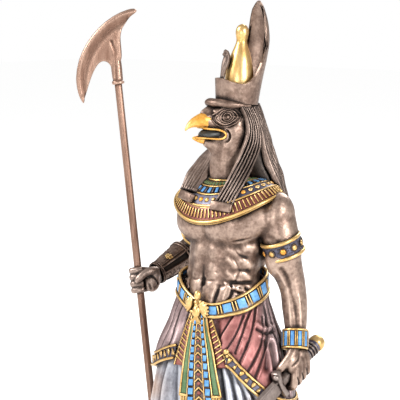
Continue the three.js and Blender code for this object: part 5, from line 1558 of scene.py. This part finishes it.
for side in ("right", "left"):
    turn, inner = legs["feet"][side][2:]
    bm = bmesh.new()
    tube(bm, legs[side], 24)
    knee = legs[side][2]
    lump(bm, (knee[0], knee[1] + 3.6, 45), (5.4, 5.4, 12))
    lump(bm, (knee[0] - 2.4, knee[1] + 2.6, 46), (4, 4.6, 11))
    lump(bm, (knee[0], knee[1] - 5.4, 60), (5, 4, 5))
    lump(bm, (knee[0] - 0.4, knee[1] - 3, 40), (3.4, 4.4, 17))
    for x in (-3.9, 3.9):
        lump(bm, footPlace(side, x, 0.2, 18.8), (1.6, 1.8, 1.8))
    lump(bm, footPlace(side, 0, 2.6, 16.6), (3.9, 4.4, 3.9), (0, 0, turn))
    rows = [(0, 4, 17.2, 3.9, 4), (0.2, -1, 18.2, 4.2, 5.2), (0.3, -6, 17, 4.4, 4.2), (0.2, -11, 15.8, 4.9, 3), (0, -16, 14.9, 5.3, 2.1)]
    tube(bm, [(*footPlace(side, x, y, z), a, b) for x, y, z, a, b in rows], 18, 26, (0, 0, 1))
    for k, (x, y, size) in enumerate(((3.6, -21.4, 1.75), (0.9, -21.6, 1.3), (-1.4, -20.8, 1.22), (-3.4, -19.4, 1.16), (-5.0, -17.6, 1.1))):
        tube(bm, [(*footPlace(side, x * 0.9, y + 5.4, 15), size, size), (*footPlace(side, x, y + 1.4, 15), size, size), (*footPlace(side, x, y - 0.6, 14.7), size * 1.06, size), (*footPlace(side, x, y - 1.7, 14.4), size * 0.5, size * 0.5)], 12, 12, (0, 0, 1))
    legMesh = fuse(bm, side + "_leg", 0.52, 5)
    fx, fy = legs["feet"][side][:2]
    marks_ = [([footPlace(side, x, y, 16.8), footPlace(side, x * 0.96, y + 4.6, 17.2)], 0.42, 0.5) for x, y in ((2.3, -21), (-0.3, -20.6), (-2.4, -19.4), (-4.2, -17.8))]
    for k, (x, y, size) in enumerate(((3.6, -22.3, 0.8), (0.9, -22.4, 0.55), (-1.4, -21.6, 0.5), (-3.4, -20.2, 0.5), (-5.0, -18.4, 0.45))):
        marks_.append(([footPlace(side, x, y, 16.6), footPlace(side, x, y - 0.6, 16.2)], size, 0.22))
    marks_.append(([(knee[0] - 5.4, knee[1], 56), (knee[0] - 5, knee[1] + 1, 44), (knee[0] - 3.6, knee[1], 32)], 0.9, 0.45))
    marks_.append(([(knee[0] + 4.6, knee[1] - 3, 54), (knee[0] + 3.6, knee[1] - 3.4, 42), (knee[0] + 2.8, knee[1] - 3.4, 30)], 0.9, 0.45))
    carve(legMesh, marks_)
    markRelief(legMesh, 18, 1.0)
    addMesh(legMesh, side + "_leg", [bronze])
    # Sandal: a sole with a softened edge and straps over the foot
    bm = bmesh.new()
    outline = []
    for k in range(40):
        a = 2 * math.pi * k / 40
        ahead = math.cos(a)
        x, y = (4.9 + 1.3 * ahead) * math.sin(a) + 0.3 * ahead, -8.7 - 16.4 * ahead
        outline.append(footPlace(side, x, y, 0)[:2])
    if inner < 0:
        outline.reverse()
    drawnPlate(bm, outline, legs["sole"], Matrix.Translation((0, 0, (legs["ground"] + legs["sole"] / 2) * mm)), 0.4, 2)
    bmesh.ops.recalc_face_normals(bm, faces=bm.faces)
    addPiece(bm, side + "_sandal", [sandalBrown])
    bm = bmesh.new()
    skin = bmesh.new()
    skin.from_mesh(legMesh)
    legTree = BVHTree.FromBMesh(skin)
    skin.free()

    def onFoot(start, end):
        # Where a line from outside meets the foot
        way = (Vector(end) - Vector(start)).normalized()
        hit, normal, index, distance = legTree.ray_cast(Vector(start) * mm, way)
        return tuple(hit / mm + normal * 0.25) if hit else tuple(start)

    for y, lean in ((-15.2, 0), (-8.6, 1.2)):
        arc = []
        for k in range(17):
            a = math.radians(-78 + 156 * k / 16)
            arc.append(onFoot(footPlace(side, 9 * math.sin(a), y - lean, 14.2 + 12 * math.cos(a)), footPlace(side, 0, y + lean, 14)))
        tube(bm, [(*p, 0.45, 1.15) for p in arc], 10, 40, (0, 0, 1))
    tube(bm, [(*onFoot(footPlace(side, 2.3, y, 26), footPlace(side, 2.3 * (y < -12), y, 10)), 0.75, 0.4) for y in (-20.4, -17.6, -15, -12, -9)], 10, 24, (0, 0, 1))
    ring = []
    for k in range(28):
        a = 2 * math.pi * k / 28
        ring.append(onFoot(footPlace(side, 12 * math.cos(a), 0.6 + 12 * math.sin(a), 21.4 - 0.8 * math.sin(a)), footPlace(side, 0, 0.6, 21.4)))
    loop(bm, ring, 0.8, 10, 0, 0.5)
    stud(bm, onFoot(footPlace(side, 0, -16, 30), footPlace(side, 0, -9, 14)), (0, -0.5, 0.8), 1.3, 0.8, 0)
    bmesh.ops.recalc_face_normals(bm, faces=bm.faces)
    addPiece(bm, side + "_straps", [goldPaint])
print("legs ready")

# Low plinth with a stepped foot and a moulded top edge
plinth = {"wide": 104, "deep": 84, "corner": 7, "profile": [(0, 0.3), (0.3, 0), (2.1, 0), (2.4, 0.3), (2.6, 1.2), (3.4, 1.9), (4.2, 2.0), (7.6, 2.0), (8.6, 1.9), (9.3, 1.2), (9.5, 0.9),
                                                                  (9.8, 0.8), (11.3, 0.8), (11.8, 1.0), (12, 1.5)]}


def plinthPlace(across, inset, z):
    wide, deep, corner = plinth["wide"] / 2 - inset, plinth["deep"] / 2 - inset, plinth["corner"] - inset * 0.5
    straights = [(2 * (deep - corner)), (2 * (wide - corner))] * 2
    arc = math.pi / 2 * corner
    length = sum(straights) + 4 * arc
    run = across * length
    centres = [(1, -1), (1, 1), (-1, 1), (-1, -1)]
    for k in range(4):
        a = k * math.pi / 2
        sx, sy = centres[k]
        mx, my = sx * (wide - corner), sy * (deep - corner)
        if run <= straights[k]:
            way = (-math.sin(a), math.cos(a))
            return (mx + corner * math.cos(a) + way[0] * run, my + corner * math.sin(a) + way[1] * run, z)
        run -= straights[k]
        nx, ny = centres[(k + 1) % 4]
        if run <= arc:
            b = a + run / corner
            return (nx * (wide - corner) + corner * math.cos(b), ny * (deep - corner) + corner * math.sin(b), z)
        run -= arc
    return plinthPlace(0, inset, z)


bm = bmesh.new()
rows = plinth["profile"]
wrapGrid(bm, 240, len(rows) - 1, lambda across, up: plinthPlace(across, rows[round(up * (len(rows) - 1))][1], rows[round(up * (len(rows) - 1))][0]), closed=True)
boundary = [e for e in bm.edges if e.is_boundary]
bmesh.ops.holes_fill(bm, edges=boundary)
bmesh.ops.recalc_face_normals(bm, faces=bm.faces)
plinthPiece = addPiece(bm, "plinth_block", [plinthBronze])
split = plinthPiece.modifiers.new("edges", "EDGE_SPLIT")
split.split_angle = math.radians(50)
settled(plinthPiece)
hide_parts("plinth")
print("plinth ready")

floorBm = bmesh.new()
bmesh.ops.create_grid(floorBm, x_segments=1, y_segments=1, size=4)
floorMesh = bpy.data.meshes.new("floor")
floorBm.to_mesh(floorMesh)
floorBm.free()
floor = bpy.data.objects.new("floor", floorMesh)
bpy.context.collection.objects.link(floor)
floorPaint, floorNodes, floorLinks, floorShader = newMaterial("floorPaint")
floorShader.inputs["Base Color"].default_value = studio["floorColour"]
floorShader.inputs["Roughness"].default_value = 0.9
floorShader.inputs["Emission Color"].default_value = (1, 1, 1, 1)
floorShader.inputs["Emission Strength"].default_value = studio["floorGlow"]
floorMesh.materials.append(floorPaint)
